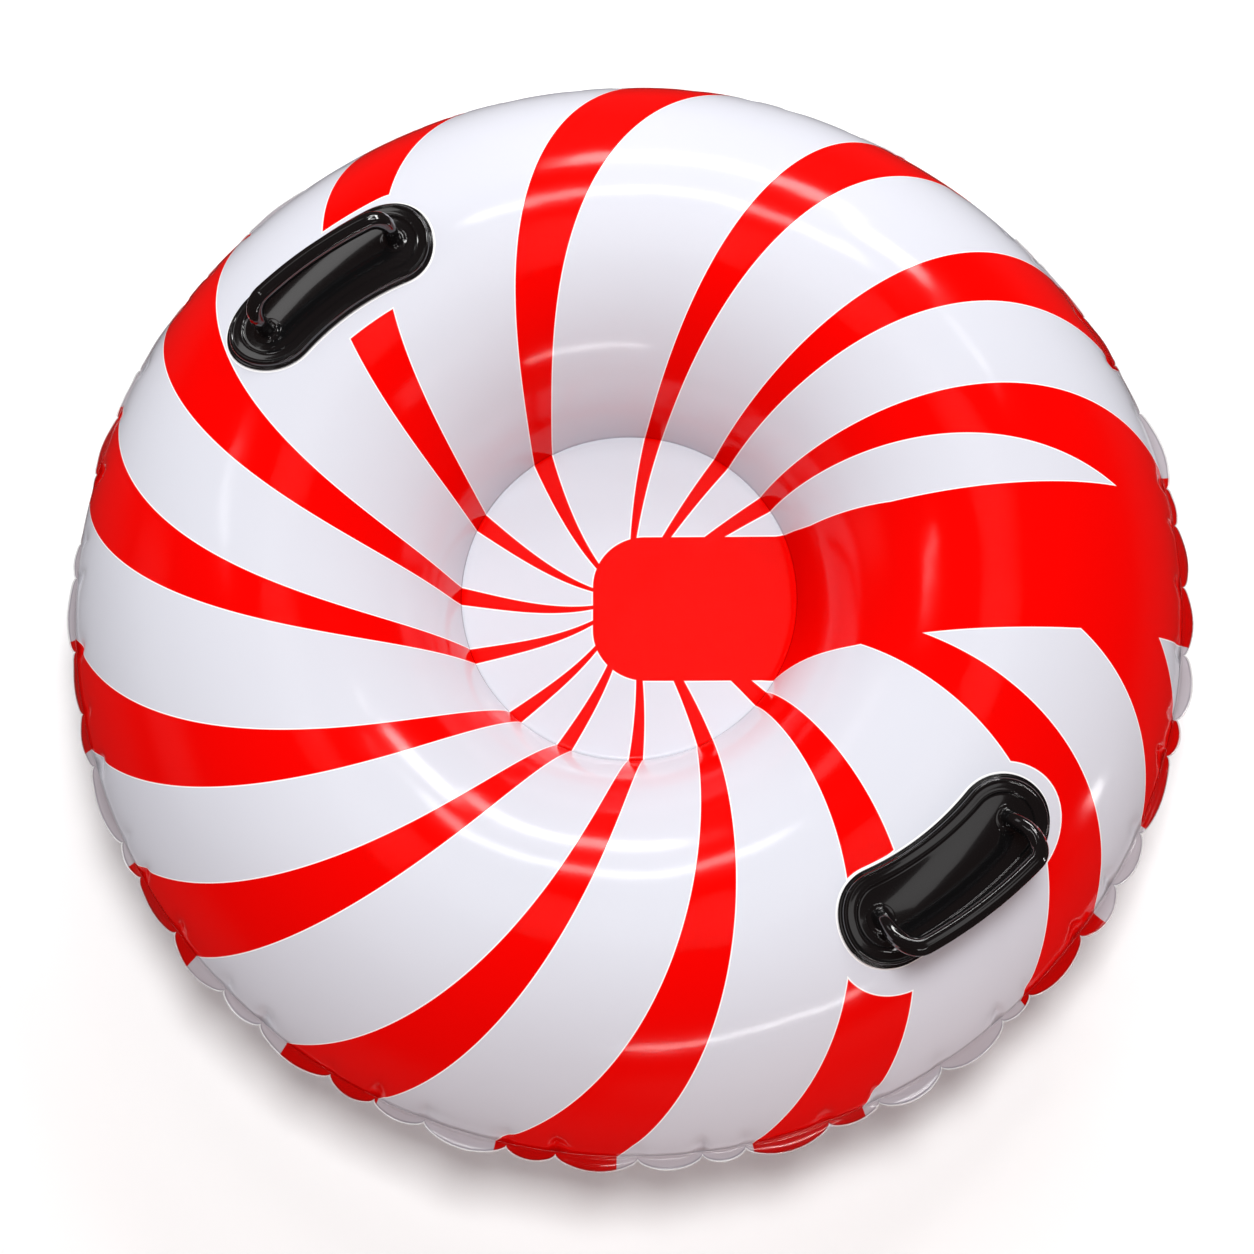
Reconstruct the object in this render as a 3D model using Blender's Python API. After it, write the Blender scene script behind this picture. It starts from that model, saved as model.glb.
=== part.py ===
"""Inflatable snow tube: a ring of two welded vinyl skins round a two layer seat.

Two moulded handles sit on top and a screw valve low on its back. Metres, +Z up. The origin is under the
middle of the ring, on the snow. Each skin's cross section is one arc of an ellipse from the outer weld to
the inner one, so the skins meet at corners, and the lower arc is pressed flat where the tube stands. A place
on the ring is an azimuth round +Z and an angle on its arc: 90 degrees at the crest, where the outer side's
angles are smaller, and the same below zero for the lower skin.
"""

import math

import bmesh
import bpy
from mathutils import Vector

# Ring
OVERALL_DIAMETER = 0.990
FLANGE_WIDTH = 0.013
FLANGE_DROOP = 0.009
SCALLOP_DEPTH = 0.006
SEAT_DIAMETER = 0.293
SEAT_DROP = 0.018
CREST_RISE = 0.116
ARC_DEPTH = 0.068
FOOT_WIDTH = 0.056
FILM = 0.0008
GAP = 0.0003
SCALLOP_COUNT = 56
COLUMNS_PER_SCALLOP = 2
UPPER_ROWS = 11
LOWER_FLANK_ROWS = 5

# Handle base, a long plate with round ends
PLATE_LENGTH = 0.204
PLATE_WIDTH = 0.092
LIP_THICKNESS = 0.0020
LIP_WIDTH = 0.0035
BEAD_HEIGHT = 0.0060
BEAD_WIDTH = 0.0065
SLOPE_WIDTH = 0.0050
STEP_HEIGHT = 0.0008
STEP_WIDTH = 0.0012
PANEL_HEIGHT = 0.0030
WAIST_SHARE = 0.11
END_STEPS = 12
SIDE_STEPS = 8

# Handle grip, a soft bail of two legs, two bends and a straight bar
GRIP_RISE = 0.036
GRIP_BEND = 0.016
GRIP_WIDTH = 0.0150
GRIP_DEPTH = 0.0130
GRIP_LEANS = {"left": 0.0050, "right": 0.0240}
LEAN_POWER = 1.5
FOOT_PAD_DIAMETER = 0.0245
FOOT_PAD_THICKNESS = 0.0022
FOOT_PAD_MARGIN = 0.0065
LEG_STEPS = 3
BEND_STEPS = 7
BAR_STEPS = 4
GRIP_SIDES = 12

# Where the handles and the valve sit, as azimuth and arc angle in degrees, and how far a handle is turned
HANDLE_PLACES = {"left": (136.5, 77.6, 9.0), "right": (313.9, 72.9, 6.6)}
VALVE_PLACE = (90.0, -42.0)

# Valve, heights measured out from the skin along the valve's axis
THREAD_BORE_DIAMETER = 0.0350
THREAD_CLEARANCE = 0.0004
NECK_WALL = 0.0040
NECK_TOP = 0.0065
NECK_DEPTH = 0.0100
VALVE_FLANGE_WIDTH = 0.0155
VALVE_FLANGE_THICKNESS = 0.0012
GASKET_THICKNESS = 0.0022
INSERT_DEPTH = 0.0120
INSERT_FLANGE_OVERHANG = 0.0015
INSERT_FLANGE_THICKNESS = 0.0030
LUG_DEPTH = 0.0010
PORT_DIAMETER = 0.0190
PLUG_CLEARANCE = 0.0006
PLUG_TAPER = 0.0013
PLUG_LENGTH = 0.0060
CAP_OVERLAP = 0.0040
CAP_THICKNESS = 0.0030
KNUCKLE_DIAMETER = 0.0030
KNUCKLE_LENGTH = 0.0070
HINGE_SETBACK = 0.0052
HINGE_ARM_THICKNESS = 0.0016
PIN_DIAMETER = 0.0015
PIN_CLEARANCE = 0.0003
EAR_THICKNESS = 0.0016
FLAP_OVERLAP = 0.0025
FLAP_THICKNESS = 0.0012
FLAP_TAB_WIDTH = 0.0080
FLAP_TAB_LENGTH = 0.0025
VALVE_SIDES = 32
DRAPE_ROUNDS = 4
GASKET_SIDES = 8
KNUCKLE_SIDES = 12
CUT_OVERRUN = 0.010

WELD_RADIUS = OVERALL_DIAMETER / 2 - FLANGE_WIDTH
SEAT_RADIUS = SEAT_DIAMETER / 2
ARC_B = CREST_RISE + ARC_DEPTH
OUTER_CORNER = math.asin(ARC_DEPTH / ARC_B)
UPPER_CORNER = math.asin((ARC_DEPTH - SEAT_DROP) / ARC_B)
LOWER_CORNER = math.asin((ARC_DEPTH + SEAT_DROP) / ARC_B)
UPPER_A = (WELD_RADIUS - SEAT_RADIUS) / (math.cos(OUTER_CORNER) + math.cos(UPPER_CORNER))
LOWER_A = (WELD_RADIUS - SEAT_RADIUS) / (math.cos(OUTER_CORNER) + math.cos(LOWER_CORNER))
WELD_HEIGHT = ARC_B * math.sqrt(1 - (FOOT_WIDTH / (2 * LOWER_A)) ** 2) - ARC_DEPTH
SEAT_HEIGHT = WELD_HEIGHT - SEAT_DROP
COLUMNS = SCALLOP_COUNT * COLUMNS_PER_SCALLOP

PANEL_INSET = LIP_WIDTH + BEAD_WIDTH + SLOPE_WIDTH + STEP_WIDTH
GRIP_SPAN = PLATE_LENGTH - 2 * (PANEL_INSET + FOOT_PAD_MARGIN) - FOOT_PAD_DIAMETER

BORE_RADIUS = THREAD_BORE_DIAMETER / 2
NECK_RADIUS = BORE_RADIUS + NECK_WALL
PORT_RADIUS = PORT_DIAMETER / 2
CAP_RADIUS = PORT_RADIUS + CAP_OVERLAP
HINGE_REACH = CAP_RADIUS + HINGE_SETBACK
FLAP_RADIUS = PORT_RADIUS + FLAP_OVERLAP
FLAP_HINGE_REACH = FLAP_RADIUS + FLAP_TAB_LENGTH
INSERT_UNDER = NECK_TOP + GAP + GASKET_THICKNESS + GAP
INSERT_TOP = INSERT_UNDER + INSERT_FLANGE_THICKNESS
CAP_UNDER = INSERT_TOP + GAP
HINGE_HEIGHT = CAP_UNDER + KNUCKLE_DIAMETER / 2
FLAP_TOP = -INSERT_DEPTH - GAP


def clear_scene():
    for obj in list(bpy.data.objects):
        bpy.data.objects.remove(obj, do_unlink=True)


def make_material(name, color, roughness):
    material = bpy.data.materials.new(name)
    material.use_nodes = True
    shader = material.node_tree.nodes["Principled BSDF"]
    shader.inputs["Base Color"].default_value = (*color, 1.0)
    shader.inputs["Roughness"].default_value = roughness
    shader.inputs["Metallic"].default_value = 0.0
    return material


def finish_object(name, mesh_builder, material, origin=Vector((0, 0, 0))):
    """One object from a bmesh, its faces turned outward and its origin moved to a joint or a centre."""
    bmesh.ops.recalc_face_normals(mesh_builder, faces=mesh_builder.faces)
    bmesh.ops.translate(mesh_builder, verts=mesh_builder.verts, vec=-origin)
    mesh = bpy.data.meshes.new(name)
    mesh_builder.to_mesh(mesh)
    mesh_builder.free()
    mesh.materials.append(material)
    mesh.shade_smooth()
    mesh.set_sharp_from_angle(angle=math.radians(35))
    obj = bpy.data.objects.new(name, mesh)
    obj.location = origin
    bpy.context.scene.collection.objects.link(obj)
    return obj


def add_ring(builder, points):
    return [builder.verts.new(point) for point in points]


def bridge(builder, first, second):
    """Quads between two rings of as many vertices."""
    count = len(first)
    for index in range(count):
        after = (index + 1) % count
        builder.faces.new((first[index], first[after], second[after], second[index]))


def fan_cap(builder, ring, hub):
    """Closes a ring with triangles round a hub, which is the ring's middle where none is given."""
    if hub is None:
        hub = sum((vert.co for vert in ring), Vector((0, 0, 0))) / len(ring)
    middle = builder.verts.new(hub)
    for index, vert in enumerate(ring):
        builder.faces.new((vert, ring[(index + 1) % len(ring)], middle))


def strip_cap(builder, ring):
    """Closes a long ring across its narrow way, between vertices that mirror each other."""
    count = len(ring)
    builder.faces.new((ring[0], ring[1], ring[count - 1]))
    for index in range(1, count // 2 - 1):
        builder.faces.new((ring[index], ring[index + 1], ring[count - index - 1], ring[count - index]))
    middle = count // 2
    builder.faces.new((ring[middle - 1], ring[middle], ring[middle + 1]))


def tube_of_rings(builder, rings):
    """Rings joined in order, and the last to the first, so the solid goes round a hole."""
    made = [add_ring(builder, ring) for ring in rings]
    for index, ring in enumerate(made):
        bridge(builder, ring, made[(index + 1) % len(made)])


def rod_of_rings(builder, rings, first_hub=None, last_hub=None):
    """Rings joined in order, with a cap on each end."""
    made = [add_ring(builder, ring) for ring in rings]
    for first, second in zip(made, made[1:]):
        bridge(builder, first, second)
    fan_cap(builder, made[0], first_hub)
    fan_cap(builder, made[-1], last_hub)


def arc_width(angle):
    """Half the width of the ellipse that an angle lies on, the upper one or the lower."""
    return UPPER_A if angle > 0 else LOWER_A


def arc_normal(angle):
    """The way out of the arc, as a share along the radius and a share upward."""
    return Vector((math.cos(angle) / arc_width(angle), math.sin(angle) / ARC_B)).normalized()


def section_point(angle, inset=0):
    """Radius and height on the section's arc, moved in towards the chamber by inset."""
    normal = arc_normal(angle)
    width = arc_width(angle)
    middle = WELD_HEIGHT - math.copysign(ARC_DEPTH, angle)
    radius = WELD_RADIUS + width * (math.cos(angle) - math.cos(OUTER_CORNER)) - inset * normal.x
    height = middle + ARC_B * math.sin(angle) - inset * normal.y
    return radius, height


def angle_at_height(offset):
    """The angle, on the outer side, of a point that far above the middle of its ellipse."""
    return math.asin(offset / ARC_B)


def even_steps(first, last, count):
    return [first + (last - first) * step / count for step in range(count + 1)]


def flange_edge(column):
    """How far out the flange's edge is, drawn in at every other column, and how far it hangs down there."""
    reach = FLANGE_WIDTH - SCALLOP_DEPTH * (column % COLUMNS_PER_SCALLOP)
    return WELD_RADIUS + reach, FLANGE_DROOP * reach / FLANGE_WIDTH


def revolve_skin(name, profile, material):
    """A closed profile taken round the ring. A radius of None is the scalloped edge."""
    builder = bmesh.new()
    rings = []
    for column in range(COLUMNS):
        azimuth = math.tau * column / COLUMNS
        edge, droop = flange_edge(column)
        ring = []
        for radius, height in profile:
            reach, level = (edge, height - droop) if radius is None else (radius, height)
            ring.append(Vector((reach * math.cos(azimuth), reach * math.sin(azimuth), level)))
        rings.append(ring)
    tube_of_rings(builder, rings)
    return finish_object(name, builder, material)


def skin_profile(angles, facing, outer):
    """The flange between two heights, then the section out along the angles and back inside the film."""
    outside = [section_point(angle) for angle in angles]
    inside = [section_point(angle, FILM) for angle in reversed(angles[1:-1])]
    last_radius, last_height = outside[-1]
    root = (WELD_RADIUS - FILM, facing)
    return [(None, facing), (None, outer), *outside, (last_radius + FILM, last_height), *inside, root]


def upper_skin(material):
    """From the outer weld's upper layer over the crest and down to the seat."""
    low = WELD_HEIGHT + GAP / 2
    first = angle_at_height(ARC_DEPTH + GAP / 2 + FILM)
    last = math.pi - angle_at_height(ARC_DEPTH - SEAT_DROP + GAP / 2)
    profile = skin_profile(even_steps(first, last, UPPER_ROWS), low, low + FILM)
    return revolve_skin("upper_skin", profile, material)


def lower_skin(material):
    """From the outer weld's lower layer under the ring, flat where it stands, and up to the seat."""
    high = WELD_HEIGHT - GAP / 2
    first = -angle_at_height(ARC_DEPTH + GAP / 2 + FILM)
    foot = math.acos(FOOT_WIDTH / (2 * LOWER_A))
    last = -math.pi + angle_at_height(ARC_DEPTH + SEAT_DROP + GAP / 2)
    angles = even_steps(first, -foot, LOWER_FLANK_ROWS)
    angles += even_steps(-math.pi + foot, last, LOWER_FLANK_ROWS)
    profile = skin_profile(angles, high, high - FILM)
    return revolve_skin("lower_skin", profile, material)


def seat_layer(name, bottom, material):
    """One layer of the seat, a disc that ends at the inner weld circle."""
    rim = SEAT_RADIUS - GAP
    builder = bmesh.new()
    rings = []
    for height in (bottom, bottom + FILM):
        ring = []
        for column in range(COLUMNS):
            azimuth = math.tau * column / COLUMNS
            ring.append(Vector((rim * math.cos(azimuth), rim * math.sin(azimuth), height)))
        rings.append(ring)
    rod_of_rings(builder, rings)
    return finish_object(name, builder, material)


def on_skin(place, along, across, height):
    """A point along the ring and across it, outward and down, from a place, and that high off the skin."""
    azimuth = math.radians(place[0])
    angle = math.radians(place[1])
    section_way = math.hypot(arc_width(angle) * math.sin(angle), ARC_B * math.cos(angle))
    azimuth += along / section_point(angle)[0]
    angle -= across / section_way
    radius, level = section_point(angle, -height)
    return Vector((radius * math.cos(azimuth), radius * math.sin(azimuth), level))


def on_handle(place, along, across, height):
    """A point in a handle's own directions, which are turned on the skin by the place's third number."""
    turn = math.radians(place[2])
    turned_along = along * math.cos(turn) - across * math.sin(turn)
    turned_across = along * math.sin(turn) + across * math.cos(turn)
    return on_skin(place, turned_along, turned_across, height)


def plate_ring(place, inset, height):
    """A ring of the plate's outline, set in by inset, its vertices mirrored across its long line."""
    arc_middle = (PLATE_LENGTH - PLATE_WIDTH) / 2
    reach = PLATE_WIDTH / 2 - inset
    flat = []
    for step in range(END_STEPS + 1):
        turn = math.pi / 2 - math.pi * step / END_STEPS
        flat.append((arc_middle + reach * math.cos(turn), reach * math.sin(turn)))
    for step in range(1, SIDE_STEPS):
        flat.append((arc_middle - 2 * arc_middle * step / SIDE_STEPS, -reach))
    for step in range(END_STEPS + 1):
        turn = -math.pi / 2 - math.pi * step / END_STEPS
        flat.append((-arc_middle + reach * math.cos(turn), reach * math.sin(turn)))
    for step in range(1, SIDE_STEPS):
        flat.append((-arc_middle + 2 * arc_middle * step / SIDE_STEPS, reach))
    start = END_STEPS // 2
    ordered = flat[start:] + flat[:start]
    ring = []
    for along, across in ordered:
        waist = WAIST_SHARE * (1 - (2 * along / PLATE_LENGTH) ** 2)
        narrow = 1 - waist if across < 0 else 1
        ring.append(on_handle(place, along, across * narrow, height))
    return ring


def handle_base(name, place, material):
    """Lip, raised bead, sloping band, fine step and flat panel, on an underside that follows the skin."""
    bead_start = LIP_WIDTH + BEAD_WIDTH / 4
    bead_end = LIP_WIDTH + 3 * BEAD_WIDTH / 4
    step_start = PANEL_INSET - STEP_WIDTH
    middle = (PLATE_WIDTH / 2 + PANEL_INSET) / 2
    deepest = (PLATE_WIDTH / 2 + middle) / 2
    top = [
        (0, GAP + LIP_THICKNESS),
        (LIP_WIDTH, GAP + LIP_THICKNESS),
        (bead_start, BEAD_HEIGHT),
        (bead_end, BEAD_HEIGHT),
        (step_start, PANEL_HEIGHT + STEP_HEIGHT),
        (PANEL_INSET, PANEL_HEIGHT),
        (middle, PANEL_HEIGHT),
        (deepest, PANEL_HEIGHT),
    ]
    under = [(deepest, GAP), (middle, GAP), (step_start, GAP), (LIP_WIDTH, GAP), (0, GAP)]
    builder = bmesh.new()
    rings = [add_ring(builder, plate_ring(place, inset, height)) for inset, height in reversed(top)]
    rings += [add_ring(builder, plate_ring(place, inset, height)) for inset, height in reversed(under)]
    for first, second in zip(rings, rings[1:]):
        bridge(builder, first, second)
    strip_cap(builder, rings[0])
    strip_cap(builder, rings[-1])
    return finish_object(name, builder, material, on_skin(place, 0, 0, 0))


def grip_path(lean):
    """The bail's middle line from foot to foot, as along, across and height, leaning more as it rises."""
    foot = PANEL_HEIGHT + GAP + FOOT_PAD_THICKNESS
    reach = GRIP_SPAN / 2
    half = [(reach, height) for height in even_steps(foot, GRIP_RISE - GRIP_BEND, LEG_STEPS)]
    for turn in even_steps(0, math.pi / 2, BEND_STEPS)[1:]:
        drawn_in = GRIP_BEND * (1 - math.cos(turn))
        short = GRIP_BEND * (1 - math.sin(turn))
        half.append((reach - drawn_in, GRIP_RISE - short))
    half += [(along, GRIP_RISE) for along in even_steps(reach - GRIP_BEND, 0, BAR_STEPS)[1:]]
    both = half + [(-along, height) for along, height in reversed(half[:-1])]
    full = GRIP_RISE - foot
    return [(along, lean * ((height - foot) / full) ** LEAN_POWER, height) for along, height in both]


def pad_ring(place, along, height):
    """A ring of a foot pad, numbered so that it faces the same way as the bail's own rings there."""
    radius = math.copysign(FOOT_PAD_DIAMETER / 2, along)
    ring = []
    for side in range(GRIP_SIDES):
        turn = math.tau * side / GRIP_SIDES
        across = FOOT_PAD_DIAMETER / 2 * math.sin(turn)
        ring.append(on_handle(place, along + radius * math.cos(turn), across, height))
    return ring


def grip_ring(place, before, point, after):
    """The grip's oval section round one point of its path, square to the way between its neighbours."""
    along, across, height = point
    middle = on_handle(place, along, across, height)
    forward = (on_handle(place, *after) - on_handle(place, *before)).normalized()
    wide = on_handle(place, along, across + GRIP_WIDTH, height) - middle
    wide = (wide - wide.dot(forward) * forward).normalized()
    thick = forward.cross(wide)
    wide *= GRIP_WIDTH / 2
    thick *= GRIP_DEPTH / 2
    ring = []
    for side in range(GRIP_SIDES):
        swing = math.tau * side / GRIP_SIDES
        ring.append(middle + wide * math.sin(swing) + thick * math.cos(swing))
    return ring


def foot_ring(place, along, height):
    """The grip's oval section where it stands on its foot pad, level with the panel."""
    way = math.copysign(1, along)
    ring = []
    for side in range(GRIP_SIDES):
        swing = math.tau * side / GRIP_SIDES
        across = GRIP_WIDTH / 2 * math.sin(swing)
        ring.append(on_handle(place, along + way * GRIP_DEPTH / 2 * math.cos(swing), across, height))
    return ring


def handle_grip(name, place, lean, material):
    """A bail that rises from two round foot pads bonded to the panel."""
    seat = PANEL_HEIGHT + GAP
    top = seat + FOOT_PAD_THICKNESS
    span = GRIP_SPAN / 2
    path = grip_path(lean)
    rings = [pad_ring(place, span, seat), pad_ring(place, span, top), foot_ring(place, span, top)]
    rings += [grip_ring(place, *three) for three in zip(path, path[1:], path[2:])]
    rings += [foot_ring(place, -span, top), pad_ring(place, -span, top), pad_ring(place, -span, seat)]
    builder = bmesh.new()
    rod_of_rings(builder, rings, on_handle(place, span, 0, seat), on_handle(place, -span, 0, seat))
    return finish_object(name, builder, material, on_skin(place, 0, 0, 0))


def valve_axes(place):
    """The valve's middle on the skin, its axis out of the skin, and the ways along and up the skin."""
    azimuth = math.radians(place[0])
    angle = math.radians(place[1])
    normal = arc_normal(angle)
    out = Vector((normal.x * math.cos(azimuth), normal.x * math.sin(azimuth), normal.y))
    along = Vector((-math.sin(azimuth), math.cos(azimuth), 0))
    return on_skin(place, 0, 0, 0), along, out.cross(along), out


def on_valve(place, along, up, height):
    """A point in the valve's own straight axes."""
    middle, along_way, up_way, out_way = valve_axes(place)
    return middle + along * along_way + up * up_way + height * out_way


def turned_ring(place, radius, height, sides=VALVE_SIDES, lug=0):
    """A ring round the valve's axis, each second vertex drawn in by the depth of a lug."""
    ring = []
    for side in range(sides):
        turn = math.tau * side / sides
        reach = radius - lug * (side % 2)
        ring.append(on_valve(place, reach * math.cos(turn), reach * math.sin(turn), height))
    return ring


def draped_ring(place, radius, height):
    """A ring on the curve of the skin that is a true circle where it is seen along the valve's axis."""
    middle, along_way, up_way, _ = valve_axes(place)
    ring = []
    for side in range(VALVE_SIDES):
        turn = math.tau * side / VALVE_SIDES
        wanted = Vector((radius * math.cos(turn), radius * math.sin(turn)))
        asked = wanted.copy()
        for _ in range(DRAPE_ROUNDS):
            reached = on_skin(place, asked.x, -asked.y, height) - middle
            asked += wanted - Vector((reached.dot(along_way), reached.dot(up_way)))
        ring.append(on_skin(place, asked.x, -asked.y, height))
    return ring


def box_object(name, place, along, up, height, material):
    """A block between pairs of limits in the valve's axes."""
    builder = bmesh.new()
    rings = []
    for level in height:
        corners = ((along[0], up[0]), (along[1], up[0]), (along[1], up[1]), (along[0], up[1]))
        rings.append([on_valve(place, x, y, level) for x, y in corners])
    made = [add_ring(builder, ring) for ring in rings]
    bridge(builder, *made)
    builder.faces.new(made[0])
    builder.faces.new(made[1])
    return finish_object(name, builder, material)


def cross_rod(name, place, length, diameter, material):
    """A round rod on the cap's hinge axis, which lies along the skin."""
    builder = bmesh.new()
    rings = []
    for end in (-length / 2, length / 2):
        ring = []
        for side in range(KNUCKLE_SIDES):
            turn = math.tau * side / KNUCKLE_SIDES
            up = HINGE_REACH + diameter / 2 * math.cos(turn)
            height = HINGE_HEIGHT + diameter / 2 * math.sin(turn)
            ring.append(on_valve(place, end, up, height))
        rings.append(ring)
    rod_of_rings(builder, rings)
    return finish_object(name, builder, material)


def combine(target, tool, operation):
    """A Boolean on the target, with the tool kept as a hidden guide."""
    tool.hide_render = True
    tool.display_type = "WIRE"
    modifier = target.modifiers.new(tool.name, "BOOLEAN")
    modifier.operation = operation
    modifier.object = tool


def cut_valve_hole(skin, place):
    """The round hole in the skin that the valve's neck passes through."""
    builder = bmesh.new()
    ends = (-CUT_OVERRUN, CUT_OVERRUN)
    rod_of_rings(builder, [turned_ring(place, NECK_RADIUS + GAP, end) for end in ends])
    combine(skin, finish_object("valve_hole", builder, skin.data.materials[0]), "DIFFERENCE")


def valve_base(place, material):
    """A flange welded on the skin and a short neck with the bore for the screwed insert."""
    flange = NECK_RADIUS + VALVE_FLANGE_WIDTH
    halfway = NECK_RADIUS + VALVE_FLANGE_WIDTH / 2
    rings = [
        draped_ring(place, halfway, GAP),
        draped_ring(place, flange, GAP),
        draped_ring(place, flange, GAP + VALVE_FLANGE_THICKNESS),
        draped_ring(place, halfway, GAP + VALVE_FLANGE_THICKNESS),
        draped_ring(place, NECK_RADIUS, GAP + VALVE_FLANGE_THICKNESS),
        turned_ring(place, NECK_RADIUS, NECK_TOP),
        turned_ring(place, BORE_RADIUS, NECK_TOP),
        turned_ring(place, BORE_RADIUS, -NECK_DEPTH),
        turned_ring(place, NECK_RADIUS, -NECK_DEPTH),
        draped_ring(place, NECK_RADIUS, GAP),
    ]
    builder = bmesh.new()
    tube_of_rings(builder, rings)
    return finish_object("valve_base", builder, material, on_skin(place, 0, 0, 0))


def valve_gasket(place, material):
    """A rubber ring between the neck's rim and the insert's flange."""
    thick = GASKET_THICKNESS / 2
    middle = BORE_RADIUS + NECK_WALL / 2
    level = NECK_TOP + GAP + thick
    rings = []
    for side in range(GASKET_SIDES):
        turn = math.tau * side / GASKET_SIDES
        rings.append(turned_ring(place, middle + thick * math.cos(turn), level + thick * math.sin(turn)))
    builder = bmesh.new()
    tube_of_rings(builder, rings)
    return finish_object("valve_gasket", builder, material, on_skin(place, 0, 0, 0))


def valve_insert(place, material):
    """The part that screws into the neck: a lugged flange, a plain barrel, a port and two hinge ears."""
    barrel = BORE_RADIUS - THREAD_CLEARANCE
    flange = NECK_RADIUS + INSERT_FLANGE_OVERHANG
    rings = [
        turned_ring(place, PORT_RADIUS, INSERT_TOP),
        turned_ring(place, flange, INSERT_TOP, lug=LUG_DEPTH),
        turned_ring(place, flange, INSERT_UNDER, lug=LUG_DEPTH),
        turned_ring(place, barrel, INSERT_UNDER),
        turned_ring(place, barrel, -INSERT_DEPTH),
        turned_ring(place, PORT_RADIUS, -INSERT_DEPTH),
    ]
    builder = bmesh.new()
    tube_of_rings(builder, rings)
    insert = finish_object("valve_insert", builder, material, on_skin(place, 0, 0, 0))
    half = KNUCKLE_LENGTH / 2 + GAP
    round_of_ear = KNUCKLE_DIAMETER / 2
    up = (HINGE_REACH - round_of_ear, HINGE_REACH + round_of_ear)
    height = (INSERT_TOP - INSERT_FLANGE_THICKNESS / 2, HINGE_HEIGHT + round_of_ear)
    for name, way in (("ear_one", 1), ("ear_two", -1)):
        along = sorted((way * half, way * (half + EAR_THICKNESS)))
        combine(insert, box_object(name, place, along, up, height, material), "UNION")
    hole_length = KNUCKLE_LENGTH + 2 * GAP + EAR_THICKNESS
    hole_diameter = PIN_DIAMETER + 2 * PIN_CLEARANCE
    combine(insert, cross_rod("ear_hole", place, hole_length, hole_diameter, material), "DIFFERENCE")
    return insert


def valve_cap(place, material):
    """A disc with a tapered plug, an arm and a knuckle whose two stub pins turn in the ears."""
    plug = PORT_RADIUS - PLUG_CLEARANCE
    rings = [
        turned_ring(place, plug - PLUG_TAPER, CAP_UNDER - PLUG_LENGTH),
        turned_ring(place, plug, CAP_UNDER),
        turned_ring(place, CAP_RADIUS, CAP_UNDER),
        turned_ring(place, CAP_RADIUS, CAP_UNDER + CAP_THICKNESS),
    ]
    builder = bmesh.new()
    rod_of_rings(builder, rings)
    cap = finish_object("valve_cap", builder, material, on_valve(place, 0, HINGE_REACH, HINGE_HEIGHT))
    wide = (-KNUCKLE_LENGTH / 2, KNUCKLE_LENGTH / 2)
    reach = (CAP_RADIUS - KNUCKLE_DIAMETER, HINGE_REACH)
    height = (CAP_UNDER, CAP_UNDER + HINGE_ARM_THICKNESS)
    combine(cap, box_object("cap_arm", place, wide, reach, height, material), "UNION")
    combine(cap, cross_rod("cap_knuckle", place, KNUCKLE_LENGTH, KNUCKLE_DIAMETER, material), "UNION")
    pin_length = KNUCKLE_LENGTH + EAR_THICKNESS
    combine(cap, cross_rod("cap_pins", place, pin_length, PIN_DIAMETER, material), "UNION")
    return cap


def valve_flap(place, material):
    """The one way flap under the port, hung from a tab at its lower edge."""
    height = (FLAP_TOP - FLAP_THICKNESS, FLAP_TOP)
    builder = bmesh.new()
    rod_of_rings(builder, [turned_ring(place, FLAP_RADIUS, level) for level in height])
    flap = finish_object("valve_flap", builder, material, on_valve(place, 0, -FLAP_HINGE_REACH, FLAP_TOP))
    wide = (-FLAP_TAB_WIDTH / 2, FLAP_TAB_WIDTH / 2)
    reach = (-FLAP_HINGE_REACH, -FLAP_RADIUS + FLAP_THICKNESS)
    combine(flap, box_object("flap_tab", place, wide, reach, height, material), "UNION")
    return flap


clear_scene()
print_white = make_material("printed_vinyl", (0.86, 0.87, 0.90), 0.25)
under_white = make_material("underside_vinyl", (0.80, 0.81, 0.84), 0.3)
handle_black = make_material("handle_vinyl", (0.015, 0.015, 0.016), 0.18)
valve_white = make_material("valve_plastic", (0.75, 0.76, 0.78), 0.35)
rubber_black = make_material("gasket_rubber", (0.02, 0.02, 0.02), 0.6)
flap_clear = make_material("flap_film", (0.70, 0.72, 0.75), 0.3)
upper_skin(print_white)
cut_valve_hole(lower_skin(under_white), VALVE_PLACE)
seat_layer("seat_panel", SEAT_HEIGHT + GAP / 2, print_white)
seat_layer("seat_backing", SEAT_HEIGHT - GAP / 2 - FILM, under_white)
for side, place in HANDLE_PLACES.items():
    handle_base(f"handle_base_{side}", place, handle_black)
    handle_grip(f"handle_grip_{side}", place, GRIP_LEANS[side], handle_black)
valve_base(VALVE_PLACE, valve_white)
valve_gasket(VALVE_PLACE, rubber_black)
valve_insert(VALVE_PLACE, valve_white)
valve_cap(VALVE_PLACE, valve_white)
valve_flap(VALVE_PLACE, flap_clear)
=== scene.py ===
"""Looks of the inflatable snow tube: pearly vinyl with a red peppermint swirl, and two black moulded handles.

Every piece is a surface of two parameters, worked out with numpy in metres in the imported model's frame. The
printed sheet is thought of flat first: a point on it is an azimuth and a flat radius, and the swirl, the band
and the bare ground round each handle are drawn there. The sheet then goes up over the ring by arc length.
"""

import math

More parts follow.
